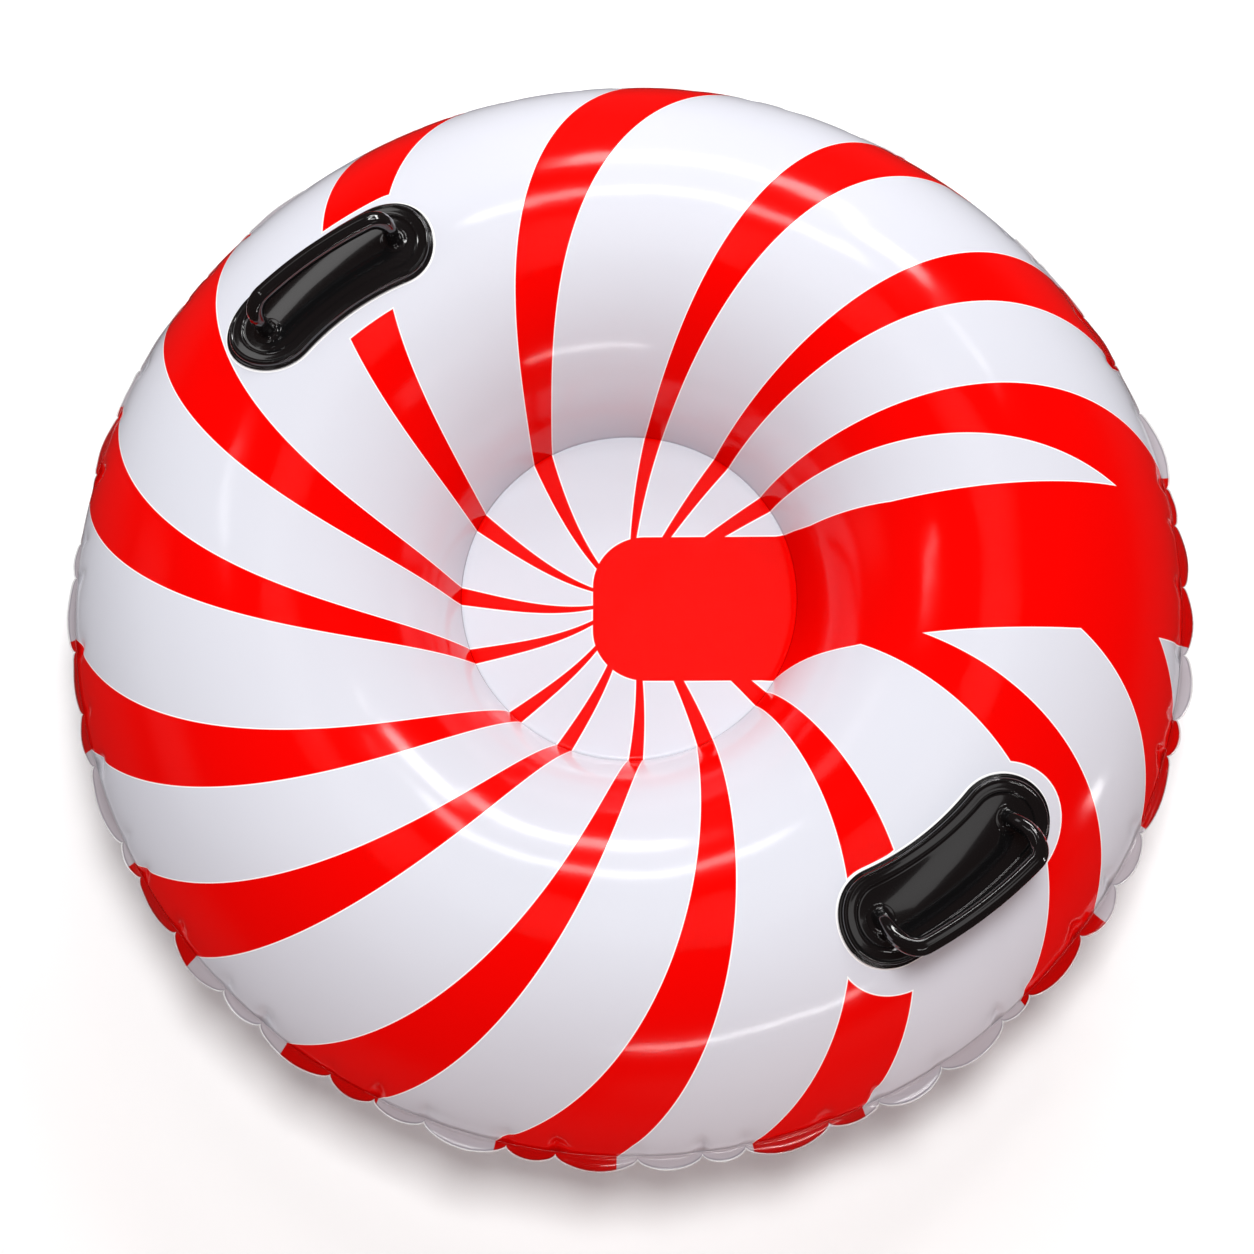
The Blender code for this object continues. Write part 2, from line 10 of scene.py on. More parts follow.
import bpy
import numpy as np
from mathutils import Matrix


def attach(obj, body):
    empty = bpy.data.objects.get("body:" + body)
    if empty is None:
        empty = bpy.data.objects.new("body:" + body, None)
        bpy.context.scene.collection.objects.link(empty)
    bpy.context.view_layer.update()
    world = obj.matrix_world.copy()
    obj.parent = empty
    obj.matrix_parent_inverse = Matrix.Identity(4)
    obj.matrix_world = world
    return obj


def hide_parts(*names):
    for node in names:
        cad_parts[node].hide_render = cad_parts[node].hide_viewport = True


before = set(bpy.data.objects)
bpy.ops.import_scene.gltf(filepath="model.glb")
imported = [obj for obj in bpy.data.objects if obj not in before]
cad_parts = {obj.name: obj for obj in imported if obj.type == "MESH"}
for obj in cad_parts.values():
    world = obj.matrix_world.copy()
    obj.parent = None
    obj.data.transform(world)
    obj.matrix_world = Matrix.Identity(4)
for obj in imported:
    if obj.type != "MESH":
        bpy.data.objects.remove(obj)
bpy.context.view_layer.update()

MM = 0.001

# Ring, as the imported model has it
WELD_RADIUS = 0.482
SEAT_RADIUS = 0.1465
WELD_HEIGHT = 0.11388
SEAT_DROP = 0.018
CREST_RISE = 0.116
ARC_DEPTH = 0.068
SEAT_HEIGHT = WELD_HEIGHT - SEAT_DROP
ARC_B = CREST_RISE + ARC_DEPTH
OUTER_CORNER = math.asin(ARC_DEPTH / ARC_B)
UPPER_CORNER = math.asin((ARC_DEPTH - SEAT_DROP) / ARC_B)
LOWER_CORNER = math.asin((ARC_DEPTH + SEAT_DROP) / ARC_B)
UPPER_A = (WELD_RADIUS - SEAT_RADIUS) / (math.cos(OUTER_CORNER) + math.cos(UPPER_CORNER))
LOWER_A = (WELD_RADIUS - SEAT_RADIUS) / (math.cos(OUTER_CORNER) + math.cos(LOWER_CORNER))
FILM = 0.0008
# How far a skin's inner face lies inside its outer face here, and the gap between touching sheets
INNER_FACE = 1.6 * MM
CLEARANCE = 0.3 * MM

# Seat's disc
SEAT_TUCK = 1.6 * MM
SEAT_LIFT = 1.0 * MM
SEAT_SAG = 2.2 * MM
SEAT_RIPPLE = 0.5 * MM
SEAT_UPTURN = 1.5 * MM
SEAT_UPTURN_FADE = 1.8 * MM
HUB_RADIUS = 3 * MM
UNDERLAYER_DROP = 0.2 * MM

# Handles: azimuth, arc angle and turn in degrees, then how far the bail leans, in metres
HANDLES = {"left": (136.5, 77.6, 9.0, 0.0050), "right": (313.9, 72.9, 6.6, 0.0240)}
PLATE_LENGTH = 0.204
PLATE_WIDTH = 0.087
PLATE_WAIST = 0.12
GRIP_SPAN = 0.1341
GRIP_RISE = 0.036
GRIP_BEND = 0.016
GRIP_WIDTH = 0.0150
GRIP_DEPTH = 0.0130
GRIP_FOOT = 0.0040
PAD_RADIUS = 0.01225
# The bail leans more as it rises, and turns square to its path over the first of its height
LEAN_POWER = 1.5
GRIP_SETTLE = 7 * MM
GRIP_SQUARENESS = 2.7
RIDGE_HEIGHT = 0.35 * MM
RIDGE_SPREAD = 0.10
FOOT_FLARE = 0.16
FOOT_FLARE_RISE = 1.6 * MM

# Weld flange
SCALLOPS = 56
STEPS_IN_SCALLOP = 16
FLANGE_LEAST_MM = 3.4
FLANGE_BULGE_MM = 12.6
FLANGE_KICK_DEGREES = 14.0
FLANGE_WAVE_DEGREES = 8.0
FLANGE_CURL = 0.35

# Skin: its two swells, then depth in metres and middle and spread in millimetres of the dimples at the weld
SWELL = 0.7 * MM
FINE_SWELL = 0.4 * MM
UPPER_DIMPLE = (4.6 * MM, 8.0, 14.0)
LOWER_DIMPLE = (3.0 * MM, 9.0, 15.0)
WELD_FADE_MM = 4.0
SEAT_FADE = 20 * MM

# Photograph's camera, from the fitted view: distance from the ring's middle, sight angle, lens and shift
CAMERA_DISTANCE = 2.169
CAMERA_ELEVATION = math.radians(74.44)
CAMERA_LENS_MM = 71.36
CAMERA_SHIFT = (-0.0018, -0.0286)
SENSOR_WIDTH_MM = 36.0


# Shapes


def arc(angle, half_width, middle_height, lift):
    """Radius and height on an ellipse's arc from the outer weld, moved out along its normal by lift."""
    nr, nz = np.cos(angle) / half_width, np.sin(angle) / ARC_B
    length = np.hypot(nr, nz)
    radius = WELD_RADIUS + half_width * (np.cos(angle) - math.cos(OUTER_CORNER)) + lift * nr / length
    return radius, middle_height + ARC_B * np.sin(angle) + lift * nz / length


def upper_arc(angle, lift=0.0):
    """Radius and height of the upper skin."""
    return arc(angle, UPPER_A, WELD_HEIGHT - ARC_DEPTH, lift)


def lower_arc(angle, lift=0.0):
    """Radius and height of the lower skin, whose angles are below zero."""
    return arc(angle, LOWER_A, WELD_HEIGHT + ARC_DEPTH, lift)


# Arc length from the seat's weld over the crest to the outer weld
ARC_TABLE_ANGLE = np.linspace(math.pi - UPPER_CORNER, OUTER_CORNER, 2001)
_steps = np.hypot(*np.diff(upper_arc(ARC_TABLE_ANGLE)))
ARC_TABLE_LENGTH = np.concatenate([[0.0], np.cumsum(_steps)])
FLAT_EDGE = SEAT_RADIUS + ARC_TABLE_LENGTH[-1]


def angle_of_flat(flat_radius):
    """Arc angle of a point whose distance from the sheet's middle, measured along the sheet, is given."""
    return np.interp(flat_radius - SEAT_RADIUS, ARC_TABLE_LENGTH, ARC_TABLE_ANGLE)


def turned(radius, azimuth, height):
    """Points at a radius and azimuth round +Z and a height, as one array whose last axis is x, y, z."""
    radius, azimuth, height = np.broadcast_arrays(radius, azimuth, height)
    return np.stack([radius * np.cos(azimuth), radius * np.sin(azimuth), height], axis=-1)


def add_object(name, data):
    """An object that shows the data, linked into the scene."""
    shown = bpy.data.objects.new(name, data)
    bpy.context.scene.collection.objects.link(shown)
    return shown


def mesh_piece(name, points, faces, material, fields=None):
    """A piece from its points and quads or triangles, turned about where its signed volume is negative."""
    points = np.asarray(points, float).reshape(-1, 3)
    quads = [np.asarray(block, int) for block in faces if len(block)]
    volume = 0.0
    for block in quads:
        for k in range(1, block.shape[1] - 1):
            a, b, c = points[block[:, 0]], points[block[:, k]], points[block[:, k + 1]]
            volume += np.einsum("ij,ij->i", a, np.cross(b, c)).sum()
    if volume < 0:
        quads = [block[:, ::-1] for block in quads]
    loops = np.concatenate([block.ravel() for block in quads])
    totals = np.concatenate([np.full(len(block), block.shape[1]) for block in quads])
    starts = np.concatenate([[0], np.cumsum(totals)[:-1]])
    mesh = bpy.data.meshes.new(name)
    mesh.vertices.add(len(points))
    mesh.vertices.foreach_set("co", points.astype(np.float32).ravel())
    mesh.loops.add(len(loops))
    mesh.loops.foreach_set("vertex_index", loops.astype(np.int32))
    mesh.polygons.add(len(totals))
    mesh.polygons.foreach_set("loop_start", starts.astype(np.int32))
    mesh.update(calc_edges=True)
    mesh.validate()
    mesh.shade_smooth()
    for field, values in (fields or {}).items():
        attribute = mesh.attributes.new(field, "FLOAT", "POINT")
        attribute.data.foreach_set("value", np.asarray(values, np.float32).ravel())
    mesh.materials.append(material)
    return add_object(name, mesh)


def grid_quads(rows, columns, rows_closed=False, first=0):
    """Quads of a grid whose columns go round and whose rows are open or go round too."""
    row = np.arange(rows if rows_closed else rows - 1)[:, None]
    column = np.arange(columns)[None, :]
    nxt, right = (row + 1) % rows, (column + 1) % columns
    corners = [row * columns + column, row * columns + right, nxt * columns + right, nxt * columns + column]
    return first + np.stack(np.broadcast_arrays(*corners), axis=-1).reshape(-1, 4)


def fan(ring_start, columns, hub, backwards=False):
    """Triangles from one ring of the grid to a hub vertex."""
    column = np.arange(columns)
    right = (column + 1) % columns
    ring = np.stack([ring_start + column, ring_start + right, np.full(columns, hub)], axis=-1)
    return ring[:, ::-1] if backwards else ring


def capped(rows, columns):
    """Faces of an open grid whose first and last rings each close on a hub, two vertices after the grid."""
    count = rows * columns
    return [
        grid_quads(rows, columns),
        fan(0, columns, count, backwards=True),
        fan(count - columns, columns, count + 1),
    ]


def two_faced_disc(rows, columns):
    """Faces of a disc with an upper and a lower grid, a rim between them and a hub in the middle of each."""
    count = rows * columns
    column = np.arange(columns)
    right = (column + 1) % columns
    outer = 2 * count - columns
    return [
        grid_quads(rows, columns),
        grid_quads(rows, columns, first=count),
        np.stack([outer + column, outer + right, right, column], axis=-1),
        fan(count - columns, columns, 2 * count),
        fan(count, columns, 2 * count + 1, backwards=True),
    ]


def squared(wave, power):
    """A wave's value with its size raised to a power below one, which squares the round that it draws."""
    return np.sign(wave) * np.abs(wave) ** power


# Print

# Each stripe of the swirl: azimuths of its two edges at flat radii of 145, 361 and 578 mm, in degrees
STRIPE_RADII = (0.1446, 0.3615, 0.5784)
STRIPES = (
    (32.0, 20.8, -0.6, 38.0, 28.7, 13.7),
    (53.4, 42.7, 26.5, 59.2, 49.6, 37.2),
    (79.0, 66.6, 50.9, 84.7, 73.4, 60.4),
    (119.0, 99.1, 77.3, 126.4, 108.6, 88.4),
    (151.6, 132.5, 107.3, 158.2, 141.6, 119.9),
    (179.5, 161.5, 137.5, 185.6, 169.4, 149.7),
    (201.6, 184.3, 161.0, 207.0, 191.2, 172.0),
    (227.3, 209.7, 187.0, 232.5, 217.3, 198.5),
    (246.6, 230.8, 211.2, 251.7, 237.2, 222.3),
    (270.5, 255.4, 235.5, 275.1, 261.7, 245.8),
    (293.8, 278.9, 258.5, 299.4, 286.5, 270.1),
    (318.1, 304.6, 283.9, 324.0, 312.4, 295.0),
    (345.0, 334.9, 314.5, 350.6, 342.5, 325.8),
    (362.2, 356.4, 336.5, 380.0, 368.5, 348.0),
)
TAB_LEFT = -0.032
TAB_CORNER = 0.046
# Band's edges, in the order that band_edge takes them
BAND_TOP = (0.0550, 0.0020, 0.130, 0.03, 0.068, 0.130)
BAND_BOTTOM = (-0.0760, -0.0075, 0.115, 0.12, 0.064, 0.245)
# The swirl is drawn in by some degrees at the seat's weld, most on the side away from the band. It fades
# outside the weld and turns back inside it
DRAWN_IN_AZIMUTH = math.radians(190.0)
DRAWN_IN_TURN = 2.3
DRAWN_IN_FADE = 0.030
DRAWN_IN_BACK = 5.4
DRAWN_IN_REACH = 0.0865
DRAWN_IN_POWER = 0.8
# Bare ground printed for a handle, a long shape with round ends: its middle along and across the plate, in
# metres, and its turn from the plate, in degrees
BARE_STRAIGHT = 0.0605
BARE_RADIUS = 0.053
BARE_PLACES = {"left": (-0.0095, -0.0023, -1.2), "right": (0.0010, 0.0085, -6.2)}
BARE_RIM_MM = 2.6


def through_three(values, radius):
    """The parabola through three values at the stripe radii, and its slope, at each radius."""
    r0, r1, r2 = STRIPE_RADII
    v0, v1, v2 = values
    first = (v1 - v0) / (r1 - r0)
    second = ((v2 - v1) / (r2 - r1) - first) / (r2 - r0)
    height = v0 + first * (radius - r0) + second * (radius - r0) * (radius - r1)
    slope = first + second * (2 * radius - r0 - r1)
    return height, slope


def drawn_in(flat_radius, azimuth):
    """Degrees that the swirl is turned near the seat's weld: an exponential outside, a parabola inside."""
    inside = (SEAT_RADIUS - flat_radius) / DRAWN_IN_REACH
    outside = np.exp(np.minimum(-(flat_radius - SEAT_RADIUS) / DRAWN_IN_FADE, 0.0))
    within = -DRAWN_IN_TURN + DRAWN_IN_BACK * inside**2
    turn = np.where(flat_radius > SEAT_RADIUS, -DRAWN_IN_TURN * outside, within)
    return turn * np.clip(np.cos(azimuth - DRAWN_IN_AZIMUTH), 0.0, None) ** DRAWN_IN_POWER


def stripe_depth(flat_radius, azimuth):
    """Millimetres into the nearest stripe: the smaller of the distances from its two curved edges."""
    deepest = np.full(np.broadcast(flat_radius, azimuth).shape, -99.0)
    degrees = np.degrees(azimuth) - drawn_in(flat_radius, azimuth)
    for stripe in STRIPES:
        sides = []
        for values, way in ((stripe[:3], 1.0), (stripe[3:], -1.0)):
            edge, slope = through_three(values, flat_radius)
            off = (degrees - edge + 180.0) % 360.0 - 180.0
            tilt = flat_radius * np.radians(slope)
            sides.append(way * np.radians(off) * flat_radius / np.sqrt(1.0 + tilt**2))
        deepest = np.maximum(deepest, np.minimum(sides[0], sides[1]) / MM)
    return deepest


def band_edge(x, level, step, step_from, step_over, slope, slope_from):
    """Place across of one edge of the band: its level, a step spread over a stretch of x, and a slope."""
    stepped = level + step * np.clip((x - step_from) / step_over, 0.0, 1.0)
    return stepped + slope * np.clip(x - slope_from, 0.0, None)


def band_depth(flat_radius, azimuth):
    """Millimetres into the plain band, whose end on the seat is a tab with two round corners."""
    x, y = flat_radius * np.cos(azimuth), flat_radius * np.sin(azimuth)
    top, bottom = band_edge(x, *BAND_TOP), band_edge(x, *BAND_BOTTOM)
    middle, half = (top + bottom) / 2, (top - bottom) / 2
    along = np.clip(TAB_LEFT + TAB_CORNER - x, 0.0, None)
    across = np.clip(np.abs(y - middle) - (half - TAB_CORNER), 0.0, None)
    return (TAB_CORNER - np.hypot(along, across)) / MM


def handle_place(side):
    """A handle's azimuth, arc angle and turn, its radius, and the metres along the arc in a radian there."""
    azimuth, angle, turn = (math.radians(value) for value in HANDLES[side][:3])
    way = math.hypot(UPPER_A * math.sin(angle), ARC_B * math.cos(angle))
    return azimuth, angle, turn, upper_arc(np.array(angle))[0], way


def unturned(along, across, turn):
    """Distances along and across, seen from directions that are turned by an angle in radians."""
    cosine, sine = math.cos(turn), math.sin(turn)
    return along * cosine + across * sine, across * cosine - along * sine


def outside_long_shape(along, across, straight, radius):
    """Millimetres outside a long shape with round ends, from half its straight and its end radius."""
    return (np.hypot(np.clip(np.abs(along) - straight, 0.0, None), across) - radius) / MM


def handle_local(side, azimuth, angle):
    """Distances along and across a handle, from an azimuth and an arc angle, by undoing the handle's turn."""
    place_azimuth, place_angle, turn, radius, way = handle_place(side)
    off = (azimuth - place_azimuth + math.pi) % math.tau - math.pi
    return unturned(off * radius, (place_angle - angle) * way, turn)


def outside_bare(azimuth, angle):
    """Millimetres outside the bare ground printed for the handles."""
    nearest = np.full(np.broadcast(azimuth, angle).shape, 99.0)
    for side, (middle_along, middle_across, turn) in BARE_PLACES.items():
        along, across = handle_local(side, azimuth, angle)
        along, across = unturned(along - middle_along, across - middle_across, math.radians(turn))
        nearest = np.minimum(nearest, outside_long_shape(along, across, BARE_STRAIGHT, BARE_RADIUS))
    return nearest


def outside_plates(azimuth, angle):
    """Millimetres outside the handles' plates, whose waist is undone before the distance is taken."""
    nearest = np.full(np.broadcast(azimuth, angle).shape, 99.0)
    straight = (PLATE_LENGTH - PLATE_WIDTH) / 2
    for side in HANDLES:
        along, across = handle_local(side, azimuth, angle)
        waist = PLATE_WAIST * np.clip(1 - (2 * along / PLATE_LENGTH) ** 2, 0.0, 1.0)
        across = np.where(across < 0, across / (1 - waist), across)
        nearest = np.minimum(nearest, outside_long_shape(along, across, straight, PLATE_WIDTH / 2))
    return nearest


def print_fields(flat_radius, azimuth, angle):
    """The distances that the printed material draws its edges from."""
    shape = np.broadcast(flat_radius, azimuth).shape
    plate = outside_plates(azimuth, angle)
    bare = np.minimum(outside_bare(azimuth, angle), plate - BARE_RIM_MM)
    return {
        "stripe_mm": stripe_depth(flat_radius, azimuth),
        "band_mm": band_depth(flat_radius, azimuth),
        "bare_mm": np.broadcast_to(bare, shape),
        "plate_mm": np.broadcast_to(plate, shape),
    }


# Materials


def colour(text):
    """An sRGB hex value as linear red, green, blue and full alpha."""
    values = [int(text[k:k + 2], 16) / 255 for k in (1, 3, 5)]
    return tuple(v / 12.92 if v <= 0.04045 else ((v + 0.055) / 1.055) ** 2.4 for v in values) + (1.0,)


def new_material(name, **shader):
    """A material and its Principled shader, with the shader's constant sockets set."""
    material = bpy.data.materials.new(name)
    material.use_nodes = True
    principled = material.node_tree.nodes["Principled BSDF"]
    for socket, value in shader.items():
        principled.inputs[socket.replace("_", " ")].default_value = value
    return material, material.node_tree, principled


def add_node(tree, kind, links=None, **settings):
    """A node with its settings; links gives each input by name or number, as a value or another's output."""
    node = tree.nodes.new(kind)
    for key, value in settings.items():
        setattr(node, key, value)
    for key, value in (links or {}).items():
        if isinstance(value, bpy.types.NodeSocket):
            tree.links.new(value, node.inputs[key])
        else:
            node.inputs[key].default_value = value
    return node


def vinyl_relief(tree, principled, scale_mm, height_mm):
    """A soft unevenness of blown film, waves of a few centimetres, through a Bump node."""
    where = add_node(tree, "ShaderNodeTexCoord")
    waves = add_node(
        tree, "ShaderNodeTexNoise",
        {"Vector": where.outputs["Object"], "Scale": 1000.0 / scale_mm, "Detail": 2.0, "Roughness": 0.45},
    )
    bump = add_node(
        tree, "ShaderNodeBump",
        {"Strength": 1.0, "Distance": height_mm * MM, "Height": waves.outputs["Fac"]},
    )
    tree.links.new(bump.outputs["Normal"], principled.inputs["Normal"])
    return where


def clouded(tree, where, size_mm, detail, first, second):
    """Two tones that drift into each other over a size in millimetres, and the drift from 0 to 1."""
    drift = add_node(
        tree, "ShaderNodeTexNoise",
        {"Vector": where.outputs["Object"], "Scale": 1000.0 / size_mm, "Detail": detail},
    ).outputs["Fac"]
    tone = add_node(
        tree, "ShaderNodeMix", {"Factor": drift, 6: colour(first), 7: colour(second)}, data_type="RGBA"
    )
    return tone.outputs[2], drift


# Where an edge of the red, of the white line round it and of the line round a plate begin and end
INK_EDGE_MM = (-0.25, 0.25)
LINE_EDGE_MM = (-1.3, -0.95)
PLATE_LINE_MM = (2.0, 1.5)
# Welded edge's painted shade in its groove and white painted highlight on its bead: millimetres from the
# film's edge where each begins and is full, its strength, its tone and how it is laid on
PAINTED_GROOVE_SHADE = (3.2, 2.0, 0.5, "#8A8A92", "MULTIPLY")
PAINTED_BEAD_HIGHLIGHT = (1.6, 1.0, 0.92, "#FFFFFF", "MIX")


def printed_vinyl(name, ground, outline, red, welded=False, **shader):
    """Calendered PVC film with screen printed ink: pearly ground, gloss red and a bare white line round it.

    On the welded edge a white painted highlight lies on the bead, and painted shade darkens the groove beside
    it."""
    material, tree, principled = new_material(name, **shader)
    stripe, band, bare, plate = (
        add_node(tree, "ShaderNodeAttribute", attribute_name=field).outputs["Fac"]
        for field in ("stripe_mm", "band_mm", "bare_mm", "plate_mm")
    )
    inked = add_node(tree, "ShaderNodeMath", {0: stripe, 1: band}, operation="MAXIMUM").outputs[0]
    inked = add_node(tree, "ShaderNodeMath", {0: inked, 1: bare}, operation="MINIMUM").outputs[0]
    in_red, in_line, round_plate = (
        add_node(
            tree, "ShaderNodeMapRange", {"Value": depth, "From Min": begin, "From Max": end},
            interpolation_type="SMOOTHSTEP",
        ).outputs[0]
        for depth, (begin, end) in ((inked, INK_EDGE_MM), (inked, LINE_EDGE_MM), (plate, PLATE_LINE_MM))
    )
    in_line = add_node(tree, "ShaderNodeMath", {0: in_line, 1: round_plate}, operation="MAXIMUM").outputs[0]
    where = vinyl_relief(tree, principled, 55.0, 0.5)
    printed = clouded(tree, where, 260.0, 1.0, *ground)[0]
    layers = [(in_line, outline, "MIX"), (in_red, red, "MIX")]
    if welded:
        # The edge's white is a painted highlight on the bead and its dark is painted shade in the groove
        edge = add_node(tree, "ShaderNodeAttribute", attribute_name="edge_mm").outputs["Fac"]
        for begin, end, most, tone, way in (PAINTED_GROOVE_SHADE, PAINTED_BEAD_HIGHLIGHT):
            reach = {"Value": edge, "From Min": begin, "From Max": end, "To Max": most}
            layers.append((add_node(tree, "ShaderNodeMapRange", reach).outputs[0], tone, way))
    for factor, tone, way in layers:
        printed = add_node(
            tree, "ShaderNodeMix", {"Factor": factor, 6: printed, 7: colour(tone)},
            data_type="RGBA", blend_type=way,
        ).outputs[2]
    tree.links.new(printed, principled.inputs["Base Color"])
    return material


# Printed sheet: soft PVC, glossy with a faint haze from its plasticiser. Its reflection is weaker than PVC's
# usual IOR of 1.53 gives, because the photograph's is
vinyl_print = printed_vinyl(
    "printed_pvc_film", ("#D3D5DE", "#DADCE5"), "#FFFFFF", "#EC0200",
    Roughness=0.13, IOR=1.50, Specular_IOR_Level=0.33, Coat_Weight=0.0,
)
# Weld flange: the same film pressed to two clear layers, so light comes through it
# Its edge gets a painted highlight on the bead and painted shade in the groove beside it
vinyl_flange = printed_vinyl(
    "welded_film_edge", ("#C6BFC6", "#D2CBD2"), "#CCC6CC", "#D40200", welded=True,
    Roughness=0.16, IOR=1.53, Transmission_Weight=0.35, Coat_Weight=0.5, Coat_Roughness=0.05,
)


def plain_vinyl(name, first, second, relief_mm, **shader):
    """Plain PVC, one colour with a faint cloud in it and a soft unevenness of the height given."""
    material, tree, principled = new_material(name, **shader)
    where = vinyl_relief(tree, principled, 60.0, relief_mm)
    tone = clouded(tree, where, 220.0, 1.0, first, second)[0]
    tree.links.new(tone, principled.inputs["Base Color"])
    return material


# Underside: heavy unprinted PVC film, duller than the printed sheet
vinyl_plain = plain_vinyl(
    "plain_pvc_film", "#DCDEE6", "#E6E8EF", 0.6,
    Roughness=0.28, IOR=1.53, Coat_Weight=0.25, Coat_Roughness=0.1,
)
# Handle: soft PVC moulded black in a polished tool, so it is nearly mirror smooth with slight sink marks
handle_pvc = plain_vinyl(
    "moulded_black_pvc", "#0C0C0D", "#111112", 0.06,
    Roughness=0.12, IOR=1.52, Coat_Weight=1.0, Coat_Roughness=0.04,
)


GRAIN_DEPTH = 0.05 * MM


def satin_moulding(name, first, second, grain_mm, **shader):
    """Injection moulded plastic or rubber with the fine matt grain of a spark eroded tool."""
    material, tree, principled = new_material(name, **shader)
    where = add_node(tree, "ShaderNodeTexCoord")
    tone, grain = clouded(tree, where, grain_mm, 3.0, first, second)
    bump = add_node(tree, "ShaderNodeBump", {"Strength": 0.5, "Distance": GRAIN_DEPTH, "Height": grain})
    tree.links.new(tone, principled.inputs["Base Color"])
    tree.links.new(bump.outputs["Normal"], principled.inputs["Normal"])
    return material


valve_satin = satin_moulding(
    "moulded_white_polyethylene", "#D8DADD", "#E2E4E6", 0.8, Roughness=0.38, IOR=1.51
)
gasket_matt = satin_moulding("moulded_black_rubber", "#141414", "#1C1C1C", 0.5, Roughness=0.7, IOR=1.52)
flap_frosted = satin_moulding(
    "frosted_flap_film", "#C9CDD2", "#D4D8DC", 1.0, Roughness=0.35, IOR=1.5, Transmission_Weight=0.4
)

# Ring


def scallop_columns():
    """Azimuths round the ring, each one's place in its scallop from 0 to 1, its scallop's number and spread.

    The pinches between scallops are moved from even spacing by two sine waves of their number. The spread is
    a scallop's width as a share of the even one."""
    count = np.arange(SCALLOPS + 1)
    even = math.tau / SCALLOPS
    pinch = count * even + 0.18 * even * np.sin(2.4 * count) + 0.08 * even * np.sin(5.1 * count + 1.0)
    pinch[-1] = pinch[0] + math.tau
    share = 0.5 - 0.5 * np.cos(np.pi * np.arange(STEPS_IN_SCALLOP) / STEPS_IN_SCALLOP)
    azimuth = pinch[:-1, None] + (pinch[1:] - pinch[:-1])[:, None] * share[None, :]
    spread = np.repeat((pinch[1:] - pinch[:-1]) / even, STEPS_IN_SCALLOP)
    return azimuth.ravel(), np.tile(share, SCALLOPS), np.repeat(count[:-1], STEPS_IN_SCALLOP), spread


AZIMUTH, IN_SCALLOP, SCALLOP, SPREAD = scallop_columns()
COLUMNS = len(AZIMUTH)
# How near a column is to a pinch: 1 at the pinch, falling as a bell whose spread is a share of the scallop
PINCH_SPREAD = 0.13
PINCH = np.exp(-((np.minimum(IN_SCALLOP, 1.0 - IN_SCALLOP) / PINCH_SPREAD) ** 2))
PINCH_SIZE = 0.65 + 0.35 * np.sin(3.7 * (SCALLOP + (IN_SCALLOP > 0.5)))


def dimples(from_weld, depth, middle, spread):
    """Metres that the skin dips behind each pinch, a bell of the millimetres from the outer weld."""
    return -depth * PINCH * PINCH_SIZE * np.exp(-(((from_weld - middle) / spread) ** 2))


def skin_unevenness(azimuth, flat_radius):
    """Metres off the smooth arc: slow swells of the blown film, and a dimple running in from each pinch."""
    swell = SWELL * np.sin(5 * azimuth + 1.0) * np.sin(14 * flat_radius)
    swell = swell + FINE_SWELL * np.sin(11 * azimuth + 9 * flat_radius)
    from_weld = (FLAT_EDGE - flat_radius) / MM
    fade = np.clip(from_weld / WELD_FADE_MM, 0.0, 1.0)
    fade = fade * np.clip((flat_radius - SEAT_RADIUS) / SEAT_FADE, 0.0, 1.0)
    return (swell + dimples(from_weld, *UPPER_DIMPLE)) * fade


def printed_top():
    """The upper skin: rows by arc length from the seat's weld to the outer weld, then back inside it."""
    rows = 96
    share = np.linspace(0.0, 1.0, rows)
    share = share + 0.035 * np.sin(2 * np.pi * share)
    flat = (SEAT_RADIUS + (FLAT_EDGE - SEAT_RADIUS) * share)[:, None]
    azimuth = AZIMUTH[None, :]
    angle = angle_of_flat(flat)
    outer_radius, outer_height = upper_arc(angle, skin_unevenness(azimuth, flat))
    outer = turned(outer_radius, azimuth, outer_height)
    inner_flat = np.linspace(FLAT_EDGE - 3 * MM, SEAT_RADIUS + 2 * MM, 20)[:, None]
    inner_angle = angle_of_flat(inner_flat)
    inner_lift = np.minimum(skin_unevenness(azimuth, inner_flat), 0.0) - INNER_FACE
    inner_radius, inner_height = upper_arc(inner_angle, inner_lift)
    inner = turned(inner_radius, azimuth, np.maximum(inner_height, SEAT_HEIGHT + CLEARANCE))
    points = np.concatenate([outer, inner])
    flats, angles = np.concatenate([flat, inner_flat]), np.concatenate([angle, inner_angle])
    fields = print_fields(flats, azimuth, angles)
    return mesh_piece("printed_top", points, [grid_quads(len(points), COLUMNS, True)], vinyl_print, fields)


